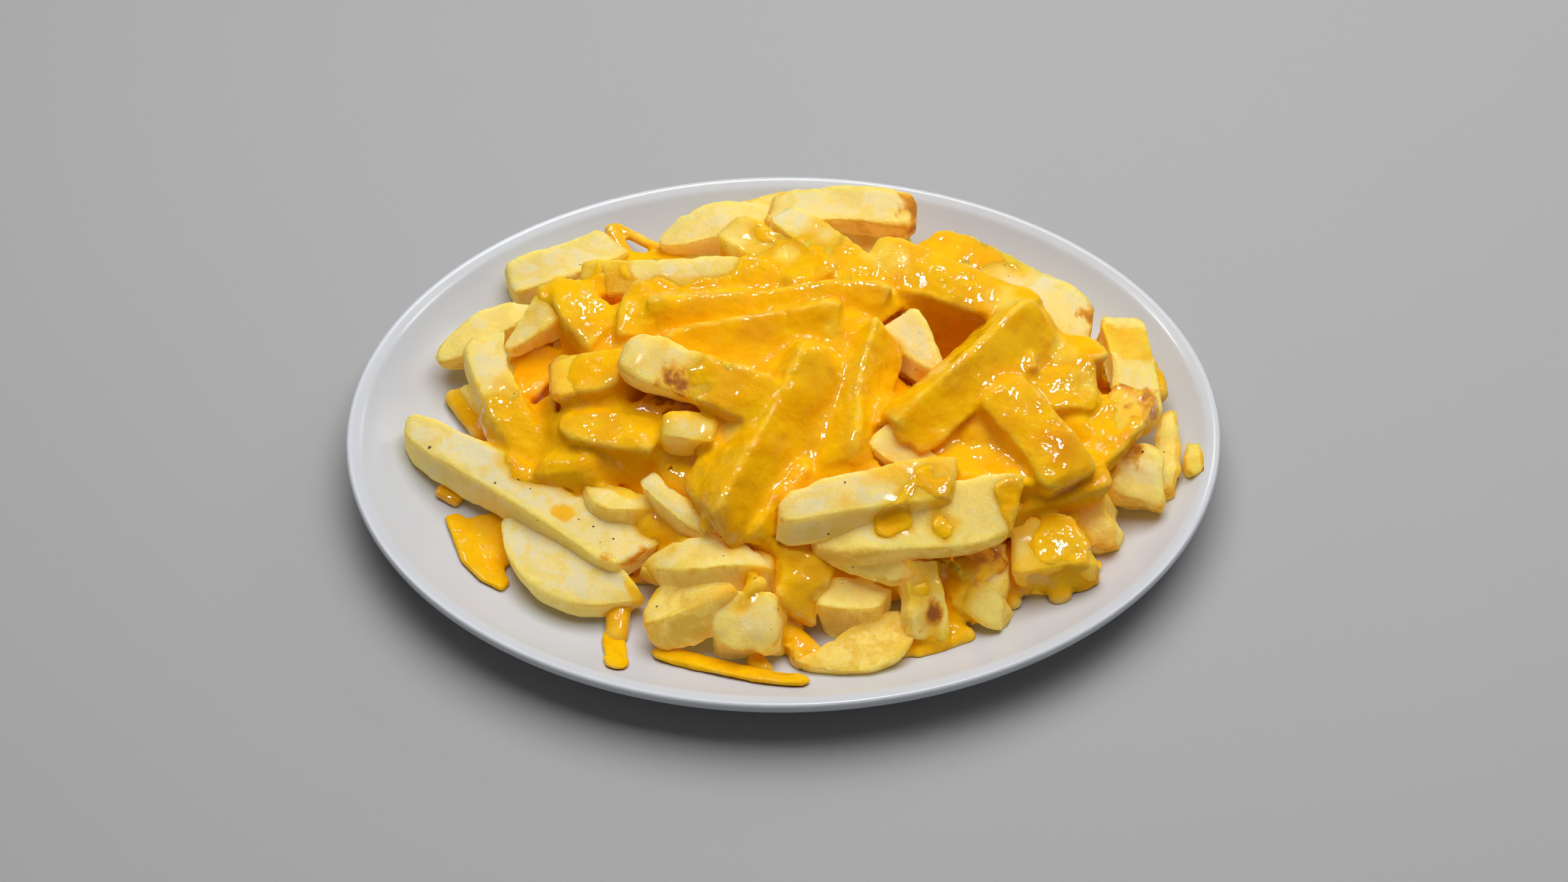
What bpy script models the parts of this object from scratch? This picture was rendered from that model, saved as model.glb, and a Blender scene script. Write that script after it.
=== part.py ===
"""An oval white plate of chunky chips under melted cheese, as a standalone Blender 4.5 script.

The heap of chips and the melted cheese that holds it together is one solid, the plate is another,
and each scrap of cheese or potato that lies by itself on the plate is one more. Sizes and places
are in millimetres, and MM turns them into Blender's metres. The plate's foot stands on z = 0 with
its centre at the origin, +X runs along its length, and -Y is the side nearest the eye.
"""

import math
import random

import bmesh
import bpy
from mathutils import Matrix, Vector

MM = 0.001

# Plate
PLATE_LENGTH = 305.0
PLATE_WIDTH = 237.0
PLATE_SIDES = 72
FLOOR_TOP = 5.0
FLOOR_UNDER = 1.8
LIP_RADIUS = 2.5
LIP_CENTRE_HEIGHT = 19.5
WALL_TOP = 20.6
WALL_REACH = 32.0
WALL_CURVE = 1.6
UNDER_START = (1.2, 17.0)
UNDER_REACH = 36.0
WALL_STEPS = 5
LIP_DEGREES = (60, 90, 125, 160, 195, 225)
FOOT_INSET = 44.5
FOOT_BREADTH = 5.5
FOOT_SLOPE = 1.5

# Clearance between the plate and what lies on it
REST_GAP = 0.5
CLEARANCE_SPARE = 40.0
HALVINGS = 24

# Core of the heap, which the chips lie in and on
CORE_CENTRE = (2.0, 8.0)
CORE_HALF_LENGTH = 112.0
CORE_HALF_WIDTH = 78.0
CORE_BASE = 3.0
CORE_HEIGHT = 33.0
CORE_RINGS = 7
CORE_SIDES = 36
CORE_FULLNESS = 2.4
CORE_WAVE = 0.05
CORE_LOBES = (5, 8)
CORE_TURN = 0.6

# Chips, strips and drips: the share cut off each corner, and how unevenly each section is drawn
CORNER_CUT = 0.2
UNEVEN = 0.05
STRIP_END = 0.7
SEED = 7

GLAZE_COLOUR = (0.72, 0.72, 0.74)
GLAZE_ROUGHNESS = 0.12
FRIED_COLOUR = (0.83, 0.47, 0.06)
FRIED_ROUGHNESS = 0.35
CHEESE_COLOUR = (0.85, 0.36, 0.01)
CHEESE_ROUGHNESS = 0.3

# Share of the length, and of the full section, at each station along a chip
FORMS = {
    "bar": ((0.0, 0.74), (0.07, 0.97), (0.5, 1.0), (0.93, 0.97), (1.0, 0.74)),
    "moon": ((0.0, 0.20), (0.16, 0.66), (0.5, 1.0), (0.84, 0.66), (1.0, 0.20)),
    "point": ((0.0, 0.72), (0.1, 1.0), (0.5, 0.86), (0.85, 0.5), (1.0, 0.18)),
    "block": ((0.0, 0.70), (0.14, 0.98), (0.5, 1.0), (0.86, 0.98), (1.0, 0.70)),
}

# One row for each chip that shows: its form, the two ends of its axis, its width and its depth, the
# roll about its axis in degrees, and how far its middle bends sideways and upwards
CHIPS = (
    # Outer ring on the left, from back to front
    ("bar", (-99, 66, 18), (-60, 83, 20), 14, 12, 0, 0, 0),
    ("moon", (-122, 32, 17), (-88, 50, 22), 15, 12, 10, 3, 0),
    ("point", (-98, 31, 24), (-72, 52, 31), 14, 12, 0, 0, 0),
    ("bar", (-105, 38, 23), (-84, -14, 17), 15, 12, 0, -6, 3),
    ("bar", (-112, 25, 12), (-93, -7, 11), 8, 9, 0, 0, 0),
    ("bar", (-132, 2, 15), (-50, -55, 15), 17, 13, 0, 0, 1),
    ("moon", (-97, -36, 11), (-48, -69, 12), 22, 12, 0, -6, 0),
    # Front, from left to right
    ("point", (-18, -71, 18), (-45, -79, 12), 21, 17, 25, 0, 0),
    ("moon", (-48, -61, 19), (-4, -65, 19), 17, 15, 0, 0, 6),
    ("block", (-24, -79, 14), (-1, -82, 14), 20, 18, 25, 0, 0),
    ("bar", (2, -75, 12), (7, -57, 24), 15, 13, 20, 0, 0),
    ("block", (13, -72, 13), (34, -74, 13), 14, 16, 0, 0, 0),
    ("moon", (5, -97, 10), (44, -75, 11), 16, 8, 0, -3, 0),
    ("moon", (13, -57, 30), (42, -70, 27), 16, 6, 40, 0, 0),
    ("bar", (46, -84, 8), (45, -63, 26), 13, 11, 10, 0, 0),
    ("block", (60, -68, 13), (74, -76, 10), 12, 11, 20, 0, 0),
    ("point", (66, -69, 10), (75, -49, 15), 13, 12, 0, 0, 0),
    ("bar", (57, -64, 18), (71, -56, 20), 10, 9, 0, 0, 0),
    ("block", (78, -56, 15), (102, -54, 15), 19, 20, 0, 0, 0),
    ("block", (105, -28, 15), (110, -48, 10), 14, 14, 30, 0, 0),
    # Right, from front to back
    ("bar", (120.5, 37, 29), (122.5, -5, 24), 16, 13, 0, 1, 0),
    ("block", (122, -13, 22), (122, -33, 14), 16, 14, 0, 0, 0),
    ("point", (123, 2, 33), (104, -28, 28), 18, 8, 10, 0, 0),
    ("bar", (134, 1, 18), (132, -29, 15), 8, 9, 0, 0, 0),
    ("bar", (73, -5, 43), (96, -37, 32), 19, 16, 10, 0, 2),
    ("block", (86, -3, 36), (108, 3, 33), 15, 14, 15, 0, 0),
    ("block", (90, 13, 36), (110, 17, 34), 14, 14, 0, 0, 0),
    ("block", (76, 6, 43), (88, 7, 42), 11, 10, 0, 0, 0),
    ("bar", (89, 26, 45), (40, -23, 43), 17, 17, 45, 0, 1),
    ("bar", (50, 72, 28), (109, 32, 27), 18, 14, 0, 4, 1),
    # Upper half of the heap, from right to left
    ("bar", (32, 57, 38), (88, 30, 42), 17, 15, 15, 0, 0),
    ("bar", (0, 84, 35), (30, 44, 41), 16, 13, 0, 0, 0),
    ("bar", (-18, 80, 30), (13, 47, 39), 16, 14, 0, 0, 0),
    ("moon", (-44, 82, 22), (0, 88, 28), 18, 14, 0, 3, 0),
    ("bar", (-28, 96, 18), (0, 99, 23), 10, 10, 0, 0, 0),
    ("bar", (-4, 90, 31), (49, 87, 33), 15, 14, 10, 0, 2),
    ("bar", (-72, 62, 26), (2, 53, 36), 14, 10, 20, 0, 2),
    ("bar", (-44, 36, 37), (36, 34, 41), 16, 14, 35, 0, 0),
    ("bar", (-37, 13, 40), (20, 23, 46), 17, 16, 35, 0, 0),
    ("bar", (-55, 8, 46), (-5, -14, 45), 15, 13, 15, 1, 2),
    ("block", (-41, -17, 39), (-23, -19, 38), 12, 15, 20, 0, 0),
    ("block", (-78, 7, 32), (-52, 10, 36), 16, 14, 0, 0, 0),
    ("point", (-51, 25, 34), (-51, 49, 38), 13, 12, 0, 0, 0),
    ("bar", (-79, 55, 32), (-63, 27, 32), 17, 12, 0, 0, 0),
    # Lower half of the heap, from left to right
    ("bar", (-76, -8, 30), (-43, -20, 33), 14, 13, 0, 0, 0),
    ("bar", (-84, -21, 22), (-62, -24, 27), 10, 12, 0, 0, 0),
    ("moon", (-69, -27, 22), (-45, -39, 24), 12, 9, 0, -2, 0),
    ("bar", (-46, -32, 28), (-18, -54, 26), 9, 10, 0, -3, 0),
    ("bar", (10, 10, 45), (-24, -52, 32), 20, 18, 45, 0, 0),
    ("bar", (31, 18, 42), (20, -35, 35), 16, 15, 45, 0, 0),
    ("point", (30, -21, 40), (57, -37, 35), 13, 10, 20, 0, 0),
    ("bar", (-3, -53, 35), (56, -44, 40), 17, 15, 0, 0, 3),
    ("bar", (8, -56, 27), (76, -49, 32), 20, 16, 10, -2, 4),
    ("bar", (72, -42, 25), (106, -29, 26), 13, 12, 0, 0, 0),
    ("point", (-2, -61, 17), (-18, -52, 20), 14, 12, 0, 0, 0),
    ("bar", (6, -28, 33), (-12, -53, 27), 13, 12, 20, 0, 0),
    ("point", (38, 29, 40), (54, 6, 37), 16, 13, 0, 0, 0),
    ("bar", (54, -30, 33), (84, -35, 31), 16, 14, 0, 0, 0),
    # Underneath, where the upper chips lie on them
    ("bar", (48, 67, 13), (104, 35, 14), 17, 17, 0, 0, 0),
    ("bar", (-3, 86, 16), (46, 83, 17), 18, 16, 0, 0, 0),
    ("bar", (-38, 85, 13), (2, 89, 14), 15, 15, 0, 0, 0),
    ("bar", (112, 35, 14), (115, -7, 13), 17, 17, 0, 0, 0),
    ("bar", (92, -3, 15), (112, -29, 13), 16, 17, 0, 0, 0),
    ("bar", (-96, 21, 12), (-70, 53, 14), 16, 15, 0, 0, 0),
    ("bar", (-70, 71, 13), (-34, 75, 14), 16, 15, 0, 0, 0),
    ("bar", (-92, -5, 12), (-62, -35, 13), 16, 14, 0, 0, 0),
    ("bar", (66, -39, 13), (100, -35, 13), 15, 15, 0, 0, 0),
    ("bar", (12, -59, 12), (62, -57, 13), 15, 15, 0, 0, 0),
)

# Drips and strands of thick cheese that run off the heap, in the same fields as the chips
DRIPS = (
    ("bar", (-62, 92, 21), (-52, 77, 19), 5, 4, 0, 0, 1),
    ("bar", (-61, 93, 21), (-40, 78, 19), 4, 4, 0, 0, 1),
    ("bar", (94, -49, 24), (94, -68, 7), 11, 5, 0, 0, 4),
    ("bar", (100, -45, 14), (100.5, -65, 7), 4, 6, 0, 0, 0),
    ("bar", (76, -47, 12), (77, -67, 7), 4, 5, 0, 0, 0),
    ("bar", (39, -87, 7), (58, -79, 7), 7, 3, 0, 0, 0),
    ("bar", (0, -77, 9), (5, -90, 7), 10, 3, 0, 0, 0),
    ("bar", (-56, -65, 9), (-57, -76, 7), 9, 4, 0, 0, 0),
    ("bar", (57, -59, 20), (57, -75, 9), 6, 7, 0, 0, 0),
    ("block", (130, 24, 20), (130, 14, 20), 8, 5, 0, 0, 0),
)

# Strips of cheese that lie by themselves on the plate: the points of the middle line, width, depth
STRIPS = {
    "cheese_strip_front": (((-45, -87), (-34, -90), (-18, -96), (-4, -100.5), (8, -103)), 7.5, 3.5),
    "cheese_strip_left": (((-57, -77), (-57.5, -82), (-56.5, -90), (-56, -100)), 8.0, 2.8),
    "cheese_scrap_left": (((-121, -17), (-112, -22)), 6.0, 4.0),
    "cheese_drop_right": (((103.5, -54), (108, -54)), 5.5, 3.0),
}

# The strip that runs down along the outermost chip at the left and joins the cheese on it
UPPER_LEFT_STRIP = (((-117.5, 23), (-114, 16), (-109, 9), (-106, 5)), 5.0, 4.0)

# The pool of cheese at the left, which spreads out from under two chips
POOL_OUTLINE = (
    (-118, -29), (-114, -27), (-110, -30), (-104, -28), (-96, -25), (-90, -35),
    (-88, -43), (-96, -51), (-93.5, -57), (-96, -61.5), (-104, -58), (-111, -49),
)
POOL_DEPTH = 2.6
POOL_EDGE = 1.0
POOL_EDGE_SHARE = 0.6

# The fried crumb that lies against the plate's right wall
CRUMB = ("block", (142, -10, 18.5), (142, -23, 18), 6, 7, 0, 0, 0)


def remove_everything():
    for old in list(bpy.data.objects):
        bpy.data.objects.remove(old, do_unlink=True)


def new_material(name, colour, roughness):
    material = bpy.data.materials.new(name)
    material.use_nodes = True
    shader = material.node_tree.nodes["Principled BSDF"]
    shader.inputs["Base Color"].default_value = (*colour, 1.0)
    shader.inputs["Roughness"].default_value = roughness
    shader.inputs["Metallic"].default_value = 0.0
    return material


def new_object(name, mesh_data, material):
    made = bpy.data.objects.new(name, mesh_data)
    made.data.materials.append(material)
    bpy.context.scene.collection.objects.link(made)
    return made


def loft(rings, name):
    """A closed mesh through rings of points, each with the same count, with a cap at both ends."""
    build = bmesh.new()
    rows = [[build.verts.new(Vector(point) * MM) for point in ring] for ring in rings]
    for lower, upper in zip(rows, rows[1:]):
        count = len(lower)
        for index in range(count):
            after = (index + 1) % count
            build.faces.new((lower[index], lower[after], upper[after], upper[index]))
    build.faces.new(list(reversed(rows[0])))
    build.faces.new(rows[-1])
    bmesh.ops.recalc_face_normals(build, faces=build.faces)
    bmesh.ops.triangulate(build, faces=build.faces)
    mesh_data = bpy.data.meshes.new(name)
    build.to_mesh(mesh_data)
    build.free()
    return mesh_data


def oval_ring(inset, height):
    """The oval this far inside the plate's edge, at this height."""
    ring = []
    for index in range(PLATE_SIDES):
        angle = math.tau * index / PLATE_SIDES
        x = (PLATE_LENGTH / 2 - inset) * math.cos(angle)
        y = (PLATE_WIDTH / 2 - inset) * math.sin(angle)
        ring.append((x, y, height))
    return ring


def wall_height(inset):
    """Height of the plate's upper surface, from the lip's inner side to the floor."""
    share = (inset - 2 * LIP_RADIUS) / (WALL_REACH - 2 * LIP_RADIUS)
    left = 1 - min(max(share, 0.0), 1.0)
    return FLOOR_TOP + (WALL_TOP - FLOOR_TOP) * left**WALL_CURVE


def under_height(inset):
    share = (inset - UNDER_START[0]) / (UNDER_REACH - UNDER_START[0])
    left = 1 - min(max(share, 0.0), 1.0)
    return FLOOR_UNDER + (UNDER_START[1] - FLOOR_UNDER) * left**WALL_CURVE


def inset_at(x, y):
    """How far inside the plate's edge this place lies, found by halving the range."""
    near = 0.0
    far = PLATE_WIDTH / 2 - 1
    for _ in range(HALVINGS):
        middle = (near + far) / 2
        across = (x / (PLATE_LENGTH / 2 - middle)) ** 2 + (y / (PLATE_WIDTH / 2 - middle)) ** 2
        if across < 1:
            near = middle
        else:
            far = middle
    return near


def rest_height(x, y):
    """Height of the underside of what lies on the plate at this place."""
    return wall_height(inset_at(x, y)) + REST_GAP


def upper_profile():
    """Insets and heights of the plate's upper side, from its floor out to the top of its lip."""
    points = []
    for step in range(WALL_STEPS + 1):
        inset = WALL_REACH + (2 * LIP_RADIUS - WALL_REACH) * step / WALL_STEPS
        points.append((inset, wall_height(inset)))
    return points


def plate_mesh():
    profile = upper_profile()
    for degrees in LIP_DEGREES:
        angle = math.radians(degrees)
        inset = LIP_RADIUS + LIP_RADIUS * math.cos(angle)
        profile.append((inset, LIP_CENTRE_HEIGHT + LIP_RADIUS * math.sin(angle)))
    for step in range(WALL_STEPS + 1):
        inset = UNDER_START[0] + (UNDER_REACH - UNDER_START[0]) * step / WALL_STEPS
        profile.append((inset, under_height(inset)))
    foot_inner = FOOT_INSET + FOOT_BREADTH
    profile.append((FOOT_INSET - FOOT_SLOPE, FLOOR_UNDER))
    profile.append((FOOT_INSET, 0.0))
    profile.append((foot_inner, 0.0))
    profile.append((foot_inner + FOOT_SLOPE, FLOOR_UNDER))
    return loft([oval_ring(inset, height) for inset, height in profile], "plate")


def clearance_mesh():
    """The plate's upper surface raised by the gap, down to well below it, to trim what lies on it."""
    rings = [oval_ring(inset, height + REST_GAP) for inset, height in upper_profile()]
    rings.append(oval_ring(LIP_RADIUS, LIP_CENTRE_HEIGHT + LIP_RADIUS + REST_GAP))
    rings.append(oval_ring(-CLEARANCE_SPARE, LIP_CENTRE_HEIGHT + LIP_RADIUS + REST_GAP))
    rings.append(oval_ring(-CLEARANCE_SPARE, -CLEARANCE_SPARE))
    return loft(rings, "clearance")


def section(width, depth):
    """Corners of a rectangle with cut corners, in order, as pairs across and up."""
    half_width = width / 2
    half_depth = depth / 2
    cut = CORNER_CUT * min(width, depth)
    return (
        (half_width - cut, half_depth),
        (cut - half_width, half_depth),
        (-half_width, half_depth - cut),
        (-half_width, cut - half_depth),
        (cut - half_width, -half_depth),
        (half_width - cut, -half_depth),
        (half_width, cut - half_depth),
        (half_width, half_depth - cut),
    )


def chip_mesh(form, start, end, width, depth, roll, bend, arch):
    start = Vector(start)
    end = Vector(end)
    along = (end - start).normalized()
    across = Vector((-along.y, along.x, 0.0)).normalized()
    up = along.cross(across)
    turn = Matrix.Rotation(math.radians(roll), 3, along)
    across = turn @ across
    up = turn @ up
    draw = random.Random(f"{SEED} {start} {end}")
    rings = []
    for share, size in FORMS[form]:
        sag = 4 * share * (1 - share)
        centre = start.lerp(end, share) + across * bend * sag + up * arch * sag
        wide = width * size * (1 + draw.uniform(-UNEVEN, UNEVEN))
        deep = depth * (1 + size) / 2 * (1 + draw.uniform(-UNEVEN, UNEVEN))
        outline = section(wide, deep)
        rings.append([centre + across * x + up * y for x, y in outline])
    return loft(rings, "chip")


def core_mesh():
    """A low mound with a wavy edge, from its top down to inside the plate's floor."""
    rings = []
    for step in range(1, CORE_RINGS + 1):
        reach = step / CORE_RINGS
        height = CORE_BASE + CORE_HEIGHT * (1 - reach**CORE_FULLNESS)
        ring = []
        for index in range(CORE_SIDES):
            angle = math.tau * index / CORE_SIDES
            few = math.sin(CORE_LOBES[0] * angle + CORE_TURN)
            many = math.cos(CORE_LOBES[1] * angle)
            wave = 1 + CORE_WAVE * (few + many)
            x = CORE_CENTRE[0] + CORE_HALF_LENGTH * reach * wave * math.cos(angle)
            y = CORE_CENTRE[1] + CORE_HALF_WIDTH * reach * wave * math.sin(angle)
            ring.append((x, y, height))
        rings.append(ring)
    rings.append([(x, y, 0.0) for x, y, _ in rings[-1]])
    return loft(rings, "core")


def strip_mesh(points, width, depth):
    """A strip of cheese along these points, laid on the plate."""
    rings = []
    last = len(points) - 1
    for index, (x, y) in enumerate(points):
        before = Vector(points[max(index - 1, 0)])
        after = Vector(points[min(index + 1, last)])
        along = (after - before).normalized()
        end_share = STRIP_END if index in (0, last) else 1.0
        ring = []
        for across, up in section(width * end_share, depth * end_share):
            place_x = x - along.y * across
            place_y = y + along.x * across
            floor = rest_height(place_x, place_y)
            ring.append((place_x, place_y, floor + depth / 2 + up))
        rings.append(ring)
    return loft(rings, "strip")


def pool_mesh():
    """The flat pool, thinner at its edge, laid on the plate."""
    centre = sum((Vector(point) for point in POOL_OUTLINE), Vector((0.0, 0.0))) / len(POOL_OUTLINE)
    rings = []
    for lift, shrink in ((0.0, 0.0), (POOL_DEPTH * POOL_EDGE_SHARE, 0.0), (POOL_DEPTH, POOL_EDGE)):
        ring = []
        for point in POOL_OUTLINE:
            place = Vector(point)
            place += (centre - place).normalized() * shrink
            ring.append((place.x, place.y, rest_height(place.x, place.y) + lift))
        rings.append(ring)
    return loft(rings, "pool")


def apply_boolean(base, operation, solver, other):
    """Applies one Boolean to the base: other is an object, or a collection of objects."""
    modifier = base.modifiers.new(operation.lower(), "BOOLEAN")
    modifier.operation = operation
    modifier.solver = solver
    if isinstance(other, bpy.types.Collection):
        modifier.operand_type = "COLLECTION"
        modifier.collection = other
    else:
        modifier.object = other
    bpy.context.view_layer.objects.active = base
    bpy.ops.object.modifier_apply(modifier=modifier.name)


def keep_largest_body(piece):
    """Drops the loose scraps, and the sealed hollows, that joining leaves."""
    build = bmesh.new()
    build.from_mesh(piece.data)
    bodies = []
    unseen = set(build.verts)
    while unseen:
        body = []
        waiting = [unseen.pop()]
        while waiting:
            corner = waiting.pop()
            body.append(corner)
            for edge in corner.link_edges:
                other = edge.other_vert(corner)
                if other in unseen:
                    unseen.remove(other)
                    waiting.append(other)
        bodies.append(body)
    largest = max(bodies, key=len)
    scraps = [corner for body in bodies if body is not largest for corner in body]
    bmesh.ops.delete(build, geom=scraps, context="VERTS")
    build.to_mesh(piece.data)
    build.free()


def build_heap(chip_material):
    """The core, the pool, one strip, the chips and the drips joined as one solid."""
    heap = new_object("chips_and_cheese", core_mesh(), chip_material)
    joined = bpy.data.collections.new("joined")
    bpy.context.scene.collection.children.link(joined)
    joined.objects.link(bpy.data.objects.new("pool", pool_mesh()))
    joined.objects.link(bpy.data.objects.new("strip", strip_mesh(*UPPER_LEFT_STRIP)))
    for row in CHIPS + DRIPS:
        joined.objects.link(bpy.data.objects.new("piece", chip_mesh(*row)))
    apply_boolean(heap, "UNION", "MANIFOLD", joined)
    for piece in list(joined.objects):
        bpy.data.objects.remove(piece, do_unlink=True)
    bpy.data.collections.remove(joined)
    return heap


def trim_to_plate(pieces):
    """Takes away whatever would reach into the plate."""
    clearance = bpy.data.objects.new("clearance", clearance_mesh())
    bpy.context.scene.collection.objects.link(clearance)
    for piece in pieces:
        apply_boolean(piece, "DIFFERENCE", "MANIFOLD", clearance)
        keep_largest_body(piece)
    bpy.data.objects.remove(clearance, do_unlink=True)


def main():
    remove_everything()
    glaze = new_material("white glaze", GLAZE_COLOUR, GLAZE_ROUGHNESS)
    fried = new_material("fried potato under cheese", FRIED_COLOUR, FRIED_ROUGHNESS)
    cheese = new_material("melted cheese", CHEESE_COLOUR, CHEESE_ROUGHNESS)
    new_object("plate", plate_mesh(), glaze)
    heap = build_heap(fried)
    crumb = new_object("fried_crumb_right", chip_mesh(*CRUMB), fried)
    trim_to_plate((heap, crumb))
    for name, (points, width, depth) in STRIPS.items():
        new_object(name, strip_mesh(points, width, depth), cheese)


main()
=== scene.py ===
import math
import random
from collections import namedtuple

import bmesh
import bpy
import numpy as np
from mathutils import Matrix, Vector, noise
from mathutils.bvhtree import BVHTree


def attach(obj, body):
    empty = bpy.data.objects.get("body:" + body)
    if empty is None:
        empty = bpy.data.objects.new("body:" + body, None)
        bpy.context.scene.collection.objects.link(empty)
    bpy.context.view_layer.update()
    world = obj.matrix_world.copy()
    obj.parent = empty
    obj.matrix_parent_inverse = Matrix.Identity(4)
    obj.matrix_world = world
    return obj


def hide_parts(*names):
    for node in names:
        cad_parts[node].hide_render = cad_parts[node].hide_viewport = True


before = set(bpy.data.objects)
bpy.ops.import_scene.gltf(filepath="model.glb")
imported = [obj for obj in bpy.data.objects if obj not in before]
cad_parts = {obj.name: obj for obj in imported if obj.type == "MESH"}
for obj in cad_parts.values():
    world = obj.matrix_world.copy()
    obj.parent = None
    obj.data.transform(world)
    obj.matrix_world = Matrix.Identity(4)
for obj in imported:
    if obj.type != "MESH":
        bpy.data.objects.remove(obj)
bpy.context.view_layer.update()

# All shapes below are in millimetres, as in the CAD source, and turn into metres when a mesh is made
mm = 0.001
# where each piece takes its noise from, and the steps from chip to chip and from size to size
noiseSeeds = {"chips": 1.0, "skin": 31.0, "loose": 51.0, "pool": 61.0, "crumb": 71.0}
seedSteps = {"chip": 0.37, "size": 7.7}
print("frame loaded:", sorted(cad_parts))


# small helpers

def smoothStep(low, high, value):
    share = np.clip((value - low) / (high - low), 0.0, 1.0)
    return share * share * (3 - 2 * share)


def noiseAt(points, scale, seed):
    # one Perlin value, about -1..1, for each point; features come out roughly scale mm across
    shift = Vector((seed * 3.1, seed * 1.7 + 5.0, seed * 2.3 - 4.0))
    return np.array([noise.noise(Vector(p) / scale + shift) for p in points])


def farFrom(points, centre):
    return np.linalg.norm(points - np.array(centre), axis=1)


def wave(points, amount, scale, seed):
    return amount * noiseAt(points, scale, seed)


def meshObject(name, points, faces, materials):
    data = bpy.data.meshes.new(name)
    data.from_pydata((np.asarray(points, float) * mm).tolist(), [], faces)
    for material in materials:
        data.materials.append(material)
    made = bpy.data.objects.new(name, data)
    bpy.context.scene.collection.objects.link(made)
    data.polygons.foreach_set("use_smooth", [True] * len(data.polygons))
    return made


def pointsOf(target):
    count = len(target.data.vertices)
    flat = np.empty(count * 3)
    target.data.vertices.foreach_get("co", flat)
    return flat.reshape(-1, 3) / mm


def setPoints(target, points):
    target.data.vertices.foreach_set("co", (np.asarray(points) * mm).ravel())
    target.data.update()


def normalsOf(target):
    flat = np.empty(len(target.data.vertices) * 3)
    target.data.vertices.foreach_get("normal", flat)
    return flat.reshape(-1, 3)


def addColour(target, name, values):
    # values: one row of three numbers a vertex
    layer = target.data.color_attributes.new(name, "FLOAT_COLOR", "POINT")
    rows = np.ones((len(values), 4))
    rows[:, :3] = values
    layer.data.foreach_set("color", rows.ravel())


def gridFaces(rows, columns, offset=0):
    # quads round a tube of rings, and an n-gon at each end
    faces = []
    for row in range(rows - 1):
        for column in range(columns):
            after = (column + 1) % columns
            a = offset + row * columns
            b = a + columns
            faces.append((a + column, a + after, b + after, b + column))
    faces.append(tuple(offset + column for column in reversed(range(columns))))
    faces.append(tuple(offset + (rows - 1) * columns + column for column in range(columns)))
    return faces


# materials

class Shader:
    # a thin wrapper that keeps node building short; the values are those of the Principled sockets

    def __init__(self, name, **values):
        self.material = bpy.data.materials.new(name)
        self.material.use_nodes = True
        self.tree = self.material.node_tree
        self.principled = self.tree.nodes["Principled BSDF"]
        self.coords = self.tree.nodes.new("ShaderNodeTexCoord").outputs["Object"]
        for key, value in values.items():
            self.principled.inputs[key.replace("_", " ")].default_value = value

    def link(self, source, socket):
        self.tree.links.new(source, self.principled.inputs[socket])

    def noise(self, scale, detail=3.0, rough=0.55, distort=0.0):
        node = self.tree.nodes.new("ShaderNodeTexNoise")
        self.tree.links.new(self.coords, node.inputs["Vector"])
        node.inputs["Scale"].default_value = scale
        node.inputs["Detail"].default_value = detail
        node.inputs["Roughness"].default_value = rough
        node.inputs["Distortion"].default_value = distort
        return node.outputs["Fac"]

    def voronoi(self, scale):
        node = self.tree.nodes.new("ShaderNodeTexVoronoi")
        self.tree.links.new(self.coords, node.inputs["Vector"])
        node.inputs["Scale"].default_value = scale
        return node.outputs["Distance"]

    def ramp(self, source, low, high, start=0.0, end=1.0):
        node = self.tree.nodes.new("ShaderNodeMapRange")
        node.interpolation_type = "SMOOTHSTEP"
        self.tree.links.new(source, node.inputs["Value"])
        node.inputs["From Min"].default_value = low
        node.inputs["From Max"].default_value = high
        node.inputs["To Min"].default_value = start
        node.inputs["To Max"].default_value = end
        return node.outputs["Result"]

    def maths(self, operation, first, second):
        node = self.tree.nodes.new("ShaderNodeMath")
        node.operation = operation
        node.use_clamp = True
        for index, value in enumerate((first, second)):
            if isinstance(value, (int, float)):
                node.inputs[index].default_value = value
            else:
                self.tree.links.new(value, node.inputs[index])
        return node.outputs["Value"]

    def mix(self, share, first, second):
        node = self.tree.nodes.new("ShaderNodeMix")
        node.data_type = "RGBA"
        inputs = [node.inputs[0], node.inputs[6], node.inputs[7]]
        for socket, value in zip(inputs, (share, first, second)):
            if isinstance(value, (int, float)):
                socket.default_value = value
            elif isinstance(value, tuple):
                socket.default_value = (*value, 1.0)
            else:
                self.tree.links.new(value, socket)
        return node.outputs[2]

    def attribute(self, name):
        node = self.tree.nodes.new("ShaderNodeAttribute")
        node.attribute_name = name
        split = self.tree.nodes.new("ShaderNodeSeparateColor")
        self.tree.links.new(node.outputs["Color"], split.inputs["Color"])
        return split.outputs["Red"], split.outputs["Green"], split.outputs["Blue"]

    def bump(self, *layers, socket="Normal"):
        # layers: (height socket, distance in metres, strength)
        last = None
        for height, distance, strength in layers:
            node = self.tree.nodes.new("ShaderNodeBump")
            node.inputs["Distance"].default_value = distance
            node.inputs["Strength"].default_value = strength
            self.tree.links.new(height, node.inputs["Height"])
            if last is not None:
                self.tree.links.new(last, node.inputs["Normal"])
            last = node.outputs["Normal"]
        self.link(last, socket)


glaze = {"bright": (0.635, 0.655, 0.695), "dull": (0.61, 0.63, 0.67), "roughness": (0.20, 0.26)}


def makePlateMaterial():
    shade = Shader("plateGlaze", IOR=1.5, Specular_IOR_Level=0.4)
    faint = shade.ramp(shade.noise(14.0, 4.0, 0.6), 0.35, 0.7)
    shade.link(shade.mix(faint, glaze["bright"], glaze["dull"]), "Base Color")
    shade.link(shade.ramp(shade.noise(60.0, 3.0), 0.3, 0.7, *glaze["roughness"]), "Roughness")
    shade.bump((shade.noise(28.0, 2.0), 0.0006, 0.12))
    return shade.material


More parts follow.
